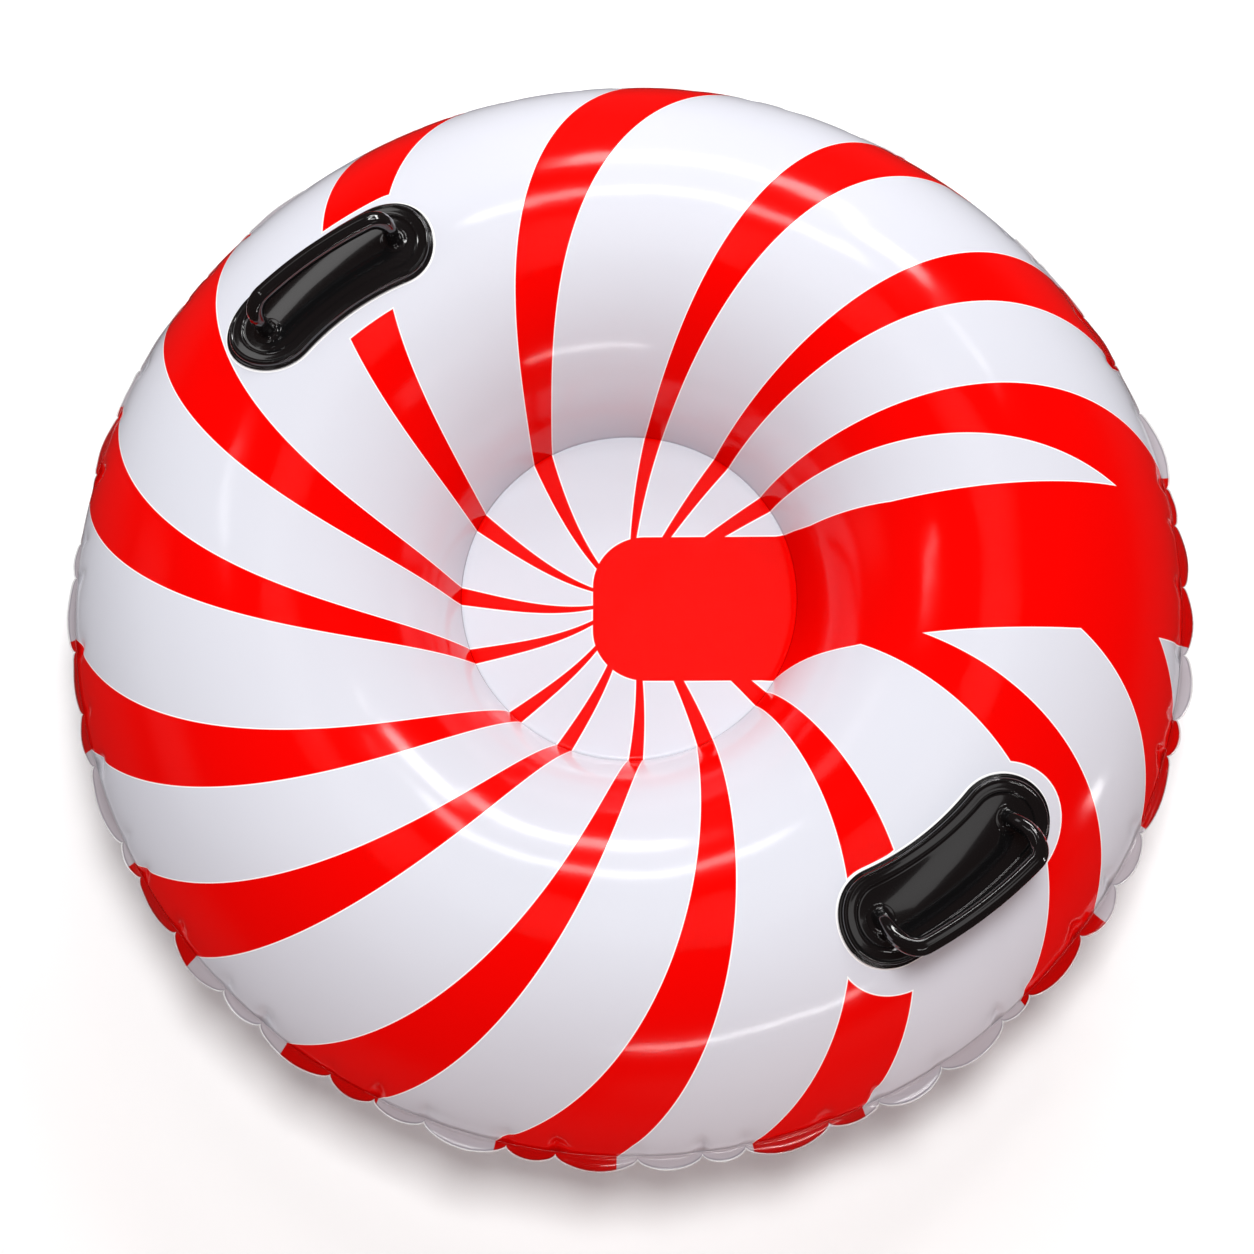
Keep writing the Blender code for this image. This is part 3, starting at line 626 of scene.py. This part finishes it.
def printed_seat():
    """The seat's disc: rings from the weld to the middle, sagging a little, with a flat underside."""
    columns, rows = 448, 44
    azimuth = (math.tau * np.arange(columns) / columns)[None, :]
    radius = np.linspace(SEAT_RADIUS + SEAT_TUCK, HUB_RADIUS, rows)[:, None]
    share = radius / SEAT_RADIUS
    ripple = SEAT_RIPPLE * np.sin(3 * azimuth + 18 * radius) * share * (1 - share) * 4
    sag = -SEAT_SAG * (1 - share**2) + ripple
    upturn = SEAT_UPTURN * np.exp(-(SEAT_RADIUS + SEAT_TUCK - radius) / SEAT_UPTURN_FADE)
    level = SEAT_HEIGHT + SEAT_LIFT + sag + upturn
    top = turned(radius, azimuth, level)
    under = turned(radius[::-1], azimuth, level[::-1] - FILM)
    middle = SEAT_HEIGHT + SEAT_LIFT - SEAT_SAG
    hubs = [[0, 0, middle], [0, 0, middle - FILM]]
    points = np.concatenate([top.reshape(-1, 3), under.reshape(-1, 3), hubs])
    shape = top.shape[:2]
    flats = [np.broadcast_to(side, shape).ravel() for side in (radius, radius[::-1])]
    flats = np.concatenate(flats + [[0.0, 0.0]])
    around = np.concatenate([np.broadcast_to(azimuth, shape).ravel()] * 2 + [[0.0, 0.0]])
    fields = print_fields(flats, around, math.pi)
    return mesh_piece("printed_seat", points, two_faced_disc(rows, columns), vinyl_print, fields)


# Flange's hang below level by the place round the ring, both in degrees: least in front, most at the back
FLANGE_HANGS = (
    (-90.0, 22.0), (-45.0, 22.0), (-12.0, 27.0), (5.0, 34.0), (22.0, 52.0), (45.0, 70.0),
    (90.0, 76.0), (135.0, 70.0), (160.0, 62.0), (180.0, 55.0), (200.0, 46.0), (225.0, 30.0),
)
# Flange's section: share of its width out from the weld, and half its thickness in millimetres. It has a
# raised seam at the weld, thin film between, and a bead along the edge
FLANGE_SECTION = (
    (0.0, 0.9), (0.05, 0.7), (0.10, 0.75), (0.14, 0.65), (0.18, 0.4), (0.26, 0.3), (0.4, 0.3), (0.55, 0.3),
    (0.7, 0.3), (0.8, 0.3), (0.86, 0.32), (0.895, 0.5), (0.92, 0.85), (0.945, 0.95), (0.97, 0.85),
    (0.99, 0.55), (1.0, 0.25),
)


def flange_hang(azimuth):
    """Radians that the flange hangs below level, between the places above and smoothed over 25 degrees."""
    places, hangs = zip(*FLANGE_HANGS)
    fine = np.arange(0.0, 360.0, 1.0)
    hang = np.interp(fine, places, hangs, period=360.0)
    window = np.hanning(25) / np.hanning(25).sum()
    smooth = np.convolve(np.concatenate([hang[-12:], hang, hang[:12]]), window, mode="valid")
    return np.radians(np.interp(np.degrees(azimuth), fine, smooth, period=360.0))


def weld_flange():
    """The wavy welded edge, a strip of film that hangs from the weld, more steeply at the back of the ring.

    Its width is least at each pinch and grows as a power of a sine, so it is a row of round bulges. It waves,
    kicks up at each pinch and curls along its width."""
    bulge = np.sin(np.pi * IN_SCALLOP) ** 0.6
    size = (0.90 + 0.10 * np.sin(1.9 * SCALLOP + 0.5)) * np.clip(SPREAD, 0.5, 1.05)
    width = (FLANGE_LEAST_MM + FLANGE_BULGE_MM * bulge * size) * MM
    wave = FLANGE_WAVE_DEGREES * np.sin(2.7 * SCALLOP) * bulge
    hang = flange_hang(AZIMUTH) - np.radians(FLANGE_KICK_DEGREES * PINCH * PINCH_SIZE - wave)
    across, half = np.array(FLANGE_SECTION).T[..., None]
    half = half * MM
    along = width[None, :] * across
    curl = FLANGE_CURL * (across - 0.4) * np.cos(1.7 * SCALLOP)[None, :] * across
    angle = hang[None, :] + curl
    reach = WELD_RADIUS - 0.8 * MM + along * np.cos(angle)
    level = WELD_HEIGHT - along * np.sin(angle)
    azimuth = AZIMUTH[None, :]
    top = turned(reach + half * np.sin(angle), azimuth, level + half * np.cos(angle))
    under = turned(reach - half * np.sin(angle), azimuth, level - half * np.cos(angle))[::-1]
    points = np.concatenate([top, under])
    edge = (width[None, :] - along) / MM
    edge = np.concatenate([edge, edge[::-1]])
    fields = print_fields(np.full((len(points), 1), FLAT_EDGE), azimuth, OUTER_CORNER)
    fields["edge_mm"] = edge
    return mesh_piece("weld_flange", points, [grid_quads(len(points), COLUMNS, True)], vinyl_flange, fields)


VALVE_AZIMUTH = math.pi / 2
VALVE_ANGLE = math.radians(-42.0)
NECK_RADIUS = 0.0215
# Underside's rows lie closer together over this much of its arc on both sides of the valve
VALVE_BAND = math.radians(9.0)
LOWER_FLOOR = 1.2 * MM


def valve_frame():
    """The valve's middle on the lower skin, and its ways along the skin, up the skin and out of it."""
    radius, height = lower_arc(np.array(VALVE_ANGLE))
    out = np.array([0.0, math.cos(VALVE_ANGLE) / LOWER_A, math.sin(VALVE_ANGLE) / ARC_B])
    out /= np.linalg.norm(out)
    along = np.array([-1.0, 0.0, 0.0])
    return np.array([0.0, float(radius), float(height)]), along, np.cross(out, along), out


VALVE_MIDDLE, VALVE_ALONG, VALVE_UP, VALVE_OUT = valve_frame()


def underside():
    """The lower skin, plain, from the outer weld to the seat's weld, flat where the tube stands.

    Cells inside the valve's neck are left out of both faces, and a wall joins the faces there."""
    above, below = VALVE_ANGLE + VALVE_BAND, VALVE_ANGLE - VALVE_BAND
    angle = np.concatenate([
        np.linspace(-OUTER_CORNER, above, 10)[:-1], np.linspace(above, below, 16)[:-1],
        np.linspace(below, -math.pi + LOWER_CORNER, 30),
    ])[:, None]
    rows = len(angle)
    azimuth = AZIMUTH[None, :]
    length = np.abs(angle + OUTER_CORNER) * LOWER_A / MM
    dimple = dimples(length, *LOWER_DIMPLE) * np.clip(length / WELD_FADE_MM, 0, 1)
    outer_radius, outer_height = lower_arc(angle, dimple)
    outer = turned(outer_radius, azimuth, np.clip(outer_height, 0.0, WELD_HEIGHT - 0.2 * MM))
    inner_radius, inner_height = lower_arc(angle, np.minimum(dimple, 0.0) - INNER_FACE)
    inner_radius, inner_height, around = np.broadcast_arrays(inner_radius, inner_height, azimuth)
    inner = turned(inner_radius, around, np.clip(inner_height, LOWER_FLOOR, WELD_HEIGHT - 1.0 * MM))[::-1]
    points = np.concatenate([outer, inner])
    off = outer - VALVE_MIDDLE
    inside = np.hypot(off @ VALVE_ALONG, off @ VALVE_UP) < NECK_RADIUS - CLEARANCE
    inside &= np.abs(off @ VALVE_OUT) < NECK_RADIUS
    gone = inside & np.roll(inside, -1, axis=1)
    gone = gone[:-1] & gone[1:]
    quads = grid_quads(2 * rows, COLUMNS, True).reshape(2 * rows, COLUMNS, 4)
    keep = np.ones(quads.shape[:2], bool)
    keep[: rows - 1] = ~gone
    keep[rows : 2 * rows - 1] = ~gone[::-1]

    walls = []
    for edge, first, second in (
        (gone[:-1] & ~gone[1:], (1, 1), (1, 0)),
        (gone[1:] & ~gone[:-1], (1, 0), (1, 1)),
        (gone & ~np.roll(gone, -1, axis=1), (0, 1), (1, 1)),
        (gone & ~np.roll(gone, 1, axis=1), (1, 0), (0, 0)),
    ):
        row, column = np.nonzero(edge)
        ends = [(row + down, (column + right) % COLUMNS) for down, right in (first, second)]
        on_outer = [r * COLUMNS + c for r, c in ends]
        on_inner = [(2 * rows - 1 - r) * COLUMNS + c for r, c in ends]
        walls.append(np.stack([*on_outer, *on_inner[::-1]], axis=-1))
    return mesh_piece("underside_skin", points, [quads[keep]] + walls, vinyl_plain)


def seat_underlayer():
    """The plain layer under the seat, a disc that follows the seat's sag."""
    columns, rows = 256, 16
    azimuth = (math.tau * np.arange(columns) / columns)[None, :]
    radius = np.linspace(SEAT_RADIUS - CLEARANCE, HUB_RADIUS, rows)[:, None]
    level = SEAT_HEIGHT - UNDERLAYER_DROP - SEAT_SAG * (1 - (radius / SEAT_RADIUS) ** 2)
    top = turned(radius, azimuth, level).reshape(-1, 3)
    under = turned(radius[::-1], azimuth, level[::-1] - FILM).reshape(-1, 3)
    middle = SEAT_HEIGHT - UNDERLAYER_DROP - SEAT_SAG
    points = np.concatenate([top, under, [[0, 0, middle], [0, 0, middle - FILM]]])
    return mesh_piece("seat_underlayer", points, two_faced_disc(rows, columns), vinyl_plain)


def on_handle(side, along, across, height):
    """Points in a handle's own directions, turned on the skin and wrapped over it along its two curves."""
    azimuth, angle, turn, ring_radius, way = handle_place(side)
    round_ring, down_skin = unturned(along, across, -turn)
    radius, level = upper_arc(angle - down_skin / way, height)
    return turned(radius, azimuth + round_ring / ring_radius, level)


# Handle base across its edge: distance in from the outline and height, both in millimetres
BASE_PROFILE = (
    (0.5, 0.3), (0.1, 0.4), (0.0, 0.9), (0.0, 1.5), (0.15, 1.9), (0.5, 2.15), (1.1, 2.25), (2.0, 2.1),
    (2.5, 2.0), (2.9, 2.4), (3.3, 3.6), (3.8, 4.9), (4.5, 5.8), (5.3, 6.2), (6.1, 6.15), (6.8, 5.7),
    (7.4, 5.3), (8.2, 5.2), (9.6, 5.1), (11.4, 4.9), (13.2, 4.7), (13.9, 4.75), (14.5, 4.9), (15.1, 4.7),
    (15.5, 4.0), (15.8, 3.3), (16.4, 3.05), (18.0, 3.0), (21.0, 3.0), (25.0, 3.0), (30.0, 3.0),
    (35.0, 3.0), (40.0, 3.0), (42.0, 3.0),
)
BASE_UNDER_INSETS = (42.0, 30.0, 18.0, 6.0)
# Pad under a foot of the bail: share of its radius, and height in millimetres
PAD_HEIGHT_MM = 3.1
PAD_PROFILE = (
    (0.7, PAD_HEIGHT_MM), (0.99, PAD_HEIGHT_MM), (1.0, 3.15), (0.99, 3.4), (0.94, 3.55), (0.86, 3.62),
    (0.76, 3.66),
)


def plate_outline(inset, columns):
    """Along and across of a long shape with round ends, set in by inset, drawn in on the seat's side.

    Columns k and columns minus k mirror each other over the long line, so a cap can join them."""
    straight = (PLATE_LENGTH - PLATE_WIDTH) / 2
    reach = PLATE_WIDTH / 2 - inset
    quarter = columns // 4
    turn = np.linspace(0.0, np.pi / 2, quarter // 2 + 1)
    flat_count = columns // 2 - 2 * (quarter // 2) - 1
    half_along = np.concatenate([
        straight + reach * np.cos(turn),
        np.linspace(straight, -straight, flat_count + 2)[1:-1],
        -straight - reach * np.sin(turn),
    ])
    half_across = np.concatenate([reach * np.sin(turn), np.full(flat_count, reach), reach * np.cos(turn)])
    along = np.concatenate([half_along, half_along[-2:0:-1]])
    across = np.concatenate([half_across, -half_across[-2:0:-1]])
    waist = PLATE_WAIST * (1 - (2 * along / PLATE_LENGTH) ** 2)
    return along, np.where(across < 0, across * (1 - waist), across)


def strip_cap(first, columns):
    """Quads and end triangles that join each column of a ring with its mirror over the long line."""
    k = np.arange(1, columns // 2 - 1)
    quads = np.stack([first + k, first + k + 1, first + columns - k - 1, first + columns - k], axis=-1)
    half = columns // 2
    tips = np.array([[0, 1, columns - 1], [half - 1, half, half + 1]]) + first
    return quads, tips


def handle_base(side):
    """The moulded plate: its outline set in step by step, each ring at its own height off the skin."""
    columns = 336
    profile = [(inset, height * MM) for inset, height in BASE_PROFILE]
    profile += [(inset, CLEARANCE) for inset in BASE_UNDER_INSETS]
    rings = [on_handle(side, *plate_outline(inset * MM, columns), height) for inset, height in profile]
    points = np.concatenate([ring.reshape(-1, 3) for ring in rings])
    rows, top_end = len(rings), (len(BASE_PROFILE) - 1) * columns
    body = grid_quads(rows, columns, True).reshape(rows, columns, 4)
    body = np.delete(body, len(BASE_PROFILE) - 1, axis=0).reshape(-1, 4)
    top_quads, top_tips = strip_cap(top_end, columns)
    low_quads, low_tips = strip_cap(len(BASE_PROFILE) * columns, columns)
    faces = [body, top_quads, low_quads[:, ::-1], top_tips, low_tips[:, ::-1]]
    return mesh_piece(f"handle_plate_{side}", points, faces, handle_pvc)


def grip_path():
    """The bail's middle line as along and height: a leg, a quarter turn and half the bar, then mirrored."""
    reach, start = GRIP_SPAN / 2, GRIP_RISE - GRIP_BEND
    leg = np.linspace(GRIP_FOOT, start, 12)
    turn = np.linspace(0.0, np.pi / 2, 16)[1:]
    bar = np.linspace(reach - GRIP_BEND, 0.0, 16)[1:]
    along = np.concatenate([np.full(12, reach), reach - GRIP_BEND * (1 - np.cos(turn)), bar])
    height = np.concatenate([leg, start + GRIP_BEND * np.sin(turn), np.full(15, GRIP_RISE)])
    return np.concatenate([along, -along[-2::-1]]), np.concatenate([height, height[-2::-1]])


def handle_grip(side):
    """The bail: round pads, then a rounded oblong section carried along the path, with a fine parting ridge.

    The section is a superellipse. It stands level on its pad and turns square to the path as it rises."""
    columns = 120
    along, height = grip_path()
    raised = (height - GRIP_FOOT) / (GRIP_RISE - GRIP_FOOT)
    across = HANDLES[side][3] * raised**LEAN_POWER
    middle = on_handle(side, along, across, height)
    up = on_handle(side, along, across, height + MM) - middle
    forward = np.gradient(middle, axis=0)
    forward /= np.linalg.norm(forward, axis=1, keepdims=True)
    way = np.sign(along + 1e-9)[:, None]
    level = np.clip((height - GRIP_FOOT) / GRIP_SETTLE, 0.0, 1.0)[:, None]
    level = level * level * (3 - 2 * level)
    forward = forward * level + way * up / MM * (1 - level)
    forward /= np.linalg.norm(forward, axis=1, keepdims=True)
    wide = on_handle(side, along, across + MM, height) - middle
    wide -= (wide * forward).sum(1, keepdims=True) * forward
    wide /= np.linalg.norm(wide, axis=1, keepdims=True)
    thick = np.cross(forward, wide)
    swing = np.linspace(0.0, math.tau, columns, endpoint=False)
    in_wide, in_thick = (squared(wave, 2 / GRIP_SQUARENESS) for wave in (np.sin(swing), np.cos(swing)))
    ridge = RIDGE_HEIGHT * np.exp(-((np.sin(swing) / RIDGE_SPREAD) ** 2))
    foot_flare = 1.0 + FOOT_FLARE * np.exp(-(((height - GRIP_FOOT) / FOOT_FLARE_RISE) ** 2))
    half_wide = (GRIP_WIDTH / 2 * foot_flare)[:, None]
    half_thick = (GRIP_DEPTH / 2 * foot_flare)[:, None] + ridge[None, :]
    bail = (
        middle[:, None, :]
        + (half_wide * in_wide[None, :])[..., None] * wide[:, None, :]
        + (half_thick * in_thick[None, :])[..., None] * thick[:, None, :]
    )
    pads, hubs = [], []
    for end in (1.0, -1.0):
        foot = end * GRIP_SPAN / 2
        pad = []
        for share, rise in PAD_PROFILE:
            radius = PAD_RADIUS * share
            pad_along = foot + end * radius * np.cos(swing)
            pad.append(on_handle(side, pad_along, radius * np.sin(swing), rise * MM))
        pads.append(np.array(pad[:: int(end)]))
        hubs.append(on_handle(side, np.array(foot), 0.0, PAD_HEIGHT_MM * MM).reshape(3))
    points = np.concatenate([pads[0], bail, pads[1]])
    faces = capped(len(points), columns)
    points = np.concatenate([points.reshape(-1, 3), hubs])
    return mesh_piece(f"handle_bail_{side}", points, faces, handle_pvc)


def on_valve(along, up, height):
    """Points in the valve's own straight directions."""
    along, up, height = (np.asarray(value, float)[..., None] for value in (along, up, height))
    return VALVE_MIDDLE + along * VALVE_ALONG + up * VALVE_UP + height * VALVE_OUT


def draped(radius, swing, lift):
    """A ring on the lower skin that is a true circle seen along the valve's axis, by a few corrections."""
    wanted = np.stack([radius * np.cos(swing), radius * np.sin(swing)], axis=-1)
    asked = wanted.copy()
    way = math.hypot(LOWER_A * math.sin(VALVE_ANGLE), ARC_B * math.cos(VALVE_ANGLE))
    for _ in range(5):
        azimuth = VALVE_AZIMUTH + asked[:, 0] / VALVE_MIDDLE[1]
        reach, height = lower_arc(VALVE_ANGLE + asked[:, 1] / way, lift)
        ring = turned(reach, azimuth, height)
        off = ring - VALVE_MIDDLE
        asked += wanted - np.stack([off @ VALVE_ALONG, off @ VALVE_UP], axis=-1)
    return ring


LUGS = 16
LUGS_FROM_MM = 20.0
LUGS_OVER_MM = 2.0
# Lid's hinge line on the valve: how far up from its axis and off the skin, in millimetres
HINGE_UP = 18.7
HINGE_HEIGHT = 14.1


def valve_turning(name, profile, material, closed, on_skin=(), lugs=0.0):
    """A piece turned round the valve's axis from radii and heights in millimetres.

    Rows named in on_skin follow the skin. Lugs, in millimetres, are a cosine wave on the widest rows."""
    columns = 96
    swing = math.tau * np.arange(columns) / columns
    rings = []
    for row, (radius, height) in enumerate(profile):
        if row in on_skin:
            rings.append(draped(radius * MM, swing, height * MM))
            continue
        share = np.clip((radius - LUGS_FROM_MM) / LUGS_OVER_MM, 0.0, 1.0)
        reach = (radius - lugs * share * (0.5 - 0.5 * np.cos(LUGS * swing))) * MM
        rings.append(on_valve(reach * np.cos(swing), reach * np.sin(swing), np.full(columns, height * MM)))
    points = np.array(rings).reshape(-1, 3)
    if closed:
        return mesh_piece(name, points, [grid_quads(len(rings), columns, True)], material)
    hubs = [on_valve(0.0, 0.0, profile[row][1] * MM) for row in (0, -1)]
    return mesh_piece(name, np.concatenate([points, hubs]), capped(len(rings), columns), material)


def valve_block(name, middle, half, material, power=0.3):
    """A block with round edges, a superellipsoid, from its middle and half sizes in millimetres."""
    columns, rows = 48, 23
    swing = math.tau * np.arange(columns)[None, :] / columns
    rise = np.linspace(-math.pi / 2, math.pi / 2, rows + 2)[1:-1, None]
    ring = squared(np.cos(rise), power)
    along = middle[0] + half[0] * ring * squared(np.cos(swing), power)
    up = middle[1] + half[1] * ring * squared(np.sin(swing), power)
    height = np.broadcast_to(middle[2] + half[2] * squared(np.sin(rise), power), up.shape)
    points = on_valve(along * MM, up * MM, height * MM).reshape(-1, 3)
    hubs = [on_valve(middle[0] * MM, middle[1] * MM, (middle[2] + way * half[2]) * MM) for way in (-1, 1)]
    return mesh_piece(name, np.concatenate([points, hubs]), capped(rows, columns), material)


def valve_rod(name, length, radius, material):
    """A round rod on the lid's hinge line, along the skin, with eased ends; sizes in millimetres."""
    columns = 40
    swing = math.tau * np.arange(columns) / columns
    half = length / 2
    ease = ((0.0, 0.8), (0.05, 0.93), (0.2, 1.0))
    profile = [(depth - half, size) for depth, size in ease]
    profile += [(half - depth, size) for depth, size in ease[::-1]]
    rings = [
        on_valve(np.full(columns, along * MM), (HINGE_UP + radius * size * np.cos(swing)) * MM,
                 (HINGE_HEIGHT + radius * size * np.sin(swing)) * MM)
        for along, size in profile
    ]
    hubs = [on_valve(way * half * MM, HINGE_UP * MM, HINGE_HEIGHT * MM) for way in (-1, 1)]
    points = np.concatenate([np.array(rings).reshape(-1, 3), hubs])
    return mesh_piece(name, points, capped(len(profile), columns), material)


# Turned profiles of the valve, radius and height off the skin, in millimetres
NECK_PROFILE = (
    (29.0, 0.3), (36.6, 0.3), (37.0, 0.5), (37.0, 1.0), (36.7, 1.35), (36.0, 1.5), (34.0, 1.5),
    (33.5, 1.2), (32.7, 1.2), (32.2, 1.5), (28.0, 1.5), (24.0, 1.5), (22.4, 1.7), (21.7, 2.3),
    (21.5, 3.0), (21.5, 6.0), (21.3, 6.4), (20.9, 6.5), (18.1, 6.5), (17.7, 6.4), (17.5, 6.0),
    (17.5, -9.6), (17.8, -10.0), (21.2, -10.0), (21.5, -9.6), (21.5, -3.0), (21.6, 0.3),
)
NECK_ROWS_ON_SKIN = (*range(13), 26)
SCREW_PROFILE = (
    (9.5, 11.8), (9.7, 12.2), (10.2, 12.3), (14.2, 12.3), (14.5, 12.1), (20.4, 12.1), (20.8, 12.3),
    (21.9, 12.3), (22.6, 12.1), (22.9, 11.6), (23.0, 11.0), (23.0, 10.3), (22.8, 9.6), (22.3, 9.3),
    (17.7, 9.3), (17.2, 9.1), (17.1, 8.7), (17.1, -11.5), (16.7, -12.0), (10.0, -12.0), (9.6, -11.8),
    (9.5, -11.4),
)
LID_PROFILE = (
    (6.6, 6.6), (7.3, 6.7), (7.6, 7.0), (8.9, 12.4), (9.1, 12.6), (13.0, 12.6), (13.4, 12.8), (13.5, 13.2),
    (13.5, 14.9), (13.3, 15.4), (12.8, 15.6), (11.9, 15.6), (11.5, 15.4), (11.1, 15.15), (10.6, 15.1),
    (4.0, 15.1),
)
FLAP_PROFILE = ((11.6, -13.5), (11.9, -13.4), (12.0, -13.1), (12.0, -12.7), (11.9, -12.4), (11.6, -12.3))
SEAL_PROFILE = tuple(
    (19.5 + 1.1 * math.cos(math.tau * k / 24), 7.9 + 1.1 * math.sin(math.tau * k / 24)) for k in range(24)
)


def place(piece, body, node=None):
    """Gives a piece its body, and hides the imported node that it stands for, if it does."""
    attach(piece, body)
    if node:
        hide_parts(node)


neck = valve_turning("valve_neck", NECK_PROFILE, valve_satin, True, on_skin=NECK_ROWS_ON_SKIN)
place(neck, "tube", "valve_base")
seal = valve_turning("valve_seal", SEAL_PROFILE, gasket_matt, True)
place(seal, "valve_gasket", "valve_gasket")
screw = valve_turning("valve_screw", SCREW_PROFILE, valve_satin, True, lugs=1.0)
place(screw, "valve_insert", "valve_insert")
for name, way in (("valve_ear_one", 1), ("valve_ear_two", -1)):
    ear = valve_block(name, (way * 4.6, HINGE_UP, 13.2), (0.8, 1.5, 2.4), valve_satin)
    place(ear, "valve_insert")
lid = valve_turning("valve_lid", LID_PROFILE, valve_satin, False)
place(lid, "valve_cap", "valve_cap")
for piece in (
    valve_block("valve_lid_arm", (0.0, 15.0, 13.4), (3.4, 4.0, 0.8), valve_satin),
    valve_block("valve_lid_tab", (0.0, -14.6, 14.3), (3.6, 2.8, 0.8), valve_satin, 0.5),
    valve_rod("valve_lid_knuckle", 7.0, 1.5, valve_satin),
    valve_rod("valve_lid_pins", 8.6, 0.75, valve_satin),
):
    place(piece, "valve_cap")
disc = valve_turning("valve_flap_disc", FLAP_PROFILE, flap_frosted, False)
place(disc, "valve_flap", "valve_flap")
hinge_tab = valve_block("valve_flap_tab", (0.0, -12.7, -12.9), (4.0, 1.8, 0.58), flap_frosted)
place(hinge_tab, "valve_flap")

place(printed_top(), "tube", "upper_skin")
place(printed_seat(), "tube", "seat_panel")
place(weld_flange(), "tube")
place(underside(), "tube", "lower_skin")
place(seat_underlayer(), "tube", "seat_backing")
for side in HANDLES:
    place(handle_base(side), "tube", f"handle_base_{side}")
    place(handle_grip(side), "tube", f"handle_grip_{side}")

# Studio


FLOOR_HALF = 8.0
AIM_HEIGHT = 0.2


def paper_floor():
    """A wide sheet of white paper under the tube."""
    mesh = bpy.data.meshes.new("paper_floor")
    corners = [(x * FLOOR_HALF, y * FLOOR_HALF, 0) for x, y in ((-1, -1), (1, -1), (1, 1), (-1, 1))]
    mesh.from_pydata(corners, [], [(0, 1, 2, 3)])
    floor = add_object("paper_floor", mesh)
    mesh.materials.append(new_material("white_paper", Roughness=0.9, Base_Color=colour("#FBFBFB"))[0])
    floor.visible_glossy = False


def softbox(name, azimuth, elevation, distance, size, radiance, glossy=True, tint="#FFFFFF"):
    """A flat studio light aimed above the ring's middle, from an azimuth and elevation in degrees.

    Its size is a width and a height in metres, and its radiance is even over them."""
    light = bpy.data.lights.new(name, "AREA")
    light.shape = "RECTANGLE"
    light.size, light.size_y = size
    light.energy = radiance * math.pi * size[0] * size[1]
    light.color = colour(tint)[:3]
    holder = add_object(name, light)
    turn, rise = math.radians(azimuth), math.radians(elevation)
    holder.location = (
        distance * math.cos(rise) * math.cos(turn),
        distance * math.cos(rise) * math.sin(turn),
        AIM_HEIGHT + distance * math.sin(rise),
    )
    holder.rotation_euler = (math.pi / 2 - rise, 0.0, turn + math.pi / 2)
    holder.visible_glossy = glossy


def studio():
    """A dim warm surround, a key overhead, low fills, and softboxes for the vinyl's highlights."""
    paper_floor()
    world = bpy.data.worlds.new("pale_surround")
    bpy.context.scene.world = world
    world.use_nodes = True
    surround = world.node_tree.nodes["Background"]
    surround.inputs["Color"].default_value = colour("#FFC6BC")
    surround.inputs["Strength"].default_value = 0.05
    softbox("key_above", 68.0, 80.5, 5.0, (1.8, 2.2), 16.9, glossy=False)
    softbox("fill_front", -70.0, 8.0, 3.0, (2.6, 0.8), 2.6, glossy=False, tint="#FFD2C8")
    softbox("fill_back", 90.0, 12.0, 3.0, (2.6, 1.0), 1.2, glossy=False)
    softbox("fill_left", 180.0, 18.0, 3.0, (2.0, 1.0), 3.0, glossy=False)
    softbox("softbox_back", 82.0, 31.0, 2.8, (1.3, 0.32), 12.0)
    softbox("softbox_right_back", 62.0, 38.0, 2.8, (0.42, 0.3), 20.0)
    softbox("softbox_streak", 50.0, 46.0, 2.6, (0.16, 0.2), 5.0)
    softbox("softbox_above", 85.0, 52.0, 2.2, (0.9, 0.16), 11.0)
    softbox("softbox_left", 146.0, 53.0, 2.4, (0.1, 0.4), 5.0)
    softbox("card_left", 125.0, 31.0, 2.6, (0.7, 0.4), 1.1)
    softbox("card_right", -26.0, 55.0, 2.5, (0.7, 0.5), 0.6)
    softbox("strip_front", -73.0, 31.0, 2.2, (1.3, 0.03), 36.0)
    softbox("strip_right", -15.0, 3.0, 2.8, (0.12, 0.26), 16.0)
    view = bpy.context.scene.view_settings
    view.view_transform = "Standard"
    view.look = "None"
    view.exposure = 0.0


def photo_camera():
    """The photograph's view: high in front of the tube, looking back and down at the ring's middle."""
    data = bpy.data.cameras.new("photo_camera")
    data.sensor_fit = "HORIZONTAL"
    data.sensor_width = SENSOR_WIDTH_MM
    data.lens = CAMERA_LENS_MM
    data.shift_x, data.shift_y = CAMERA_SHIFT
    data.clip_start, data.clip_end = 0.05, 60.0
    camera = add_object("photo_camera", data)
    camera.location = (
        0.0,
        -CAMERA_DISTANCE * math.cos(CAMERA_ELEVATION),
        WELD_HEIGHT + CAMERA_DISTANCE * math.sin(CAMERA_ELEVATION),
    )
    camera.rotation_euler = (math.pi / 2 - CAMERA_ELEVATION, 0.0, 0.0)
    bpy.context.scene.camera = camera


studio()
photo_camera()

bpy.context.view_layer.update()
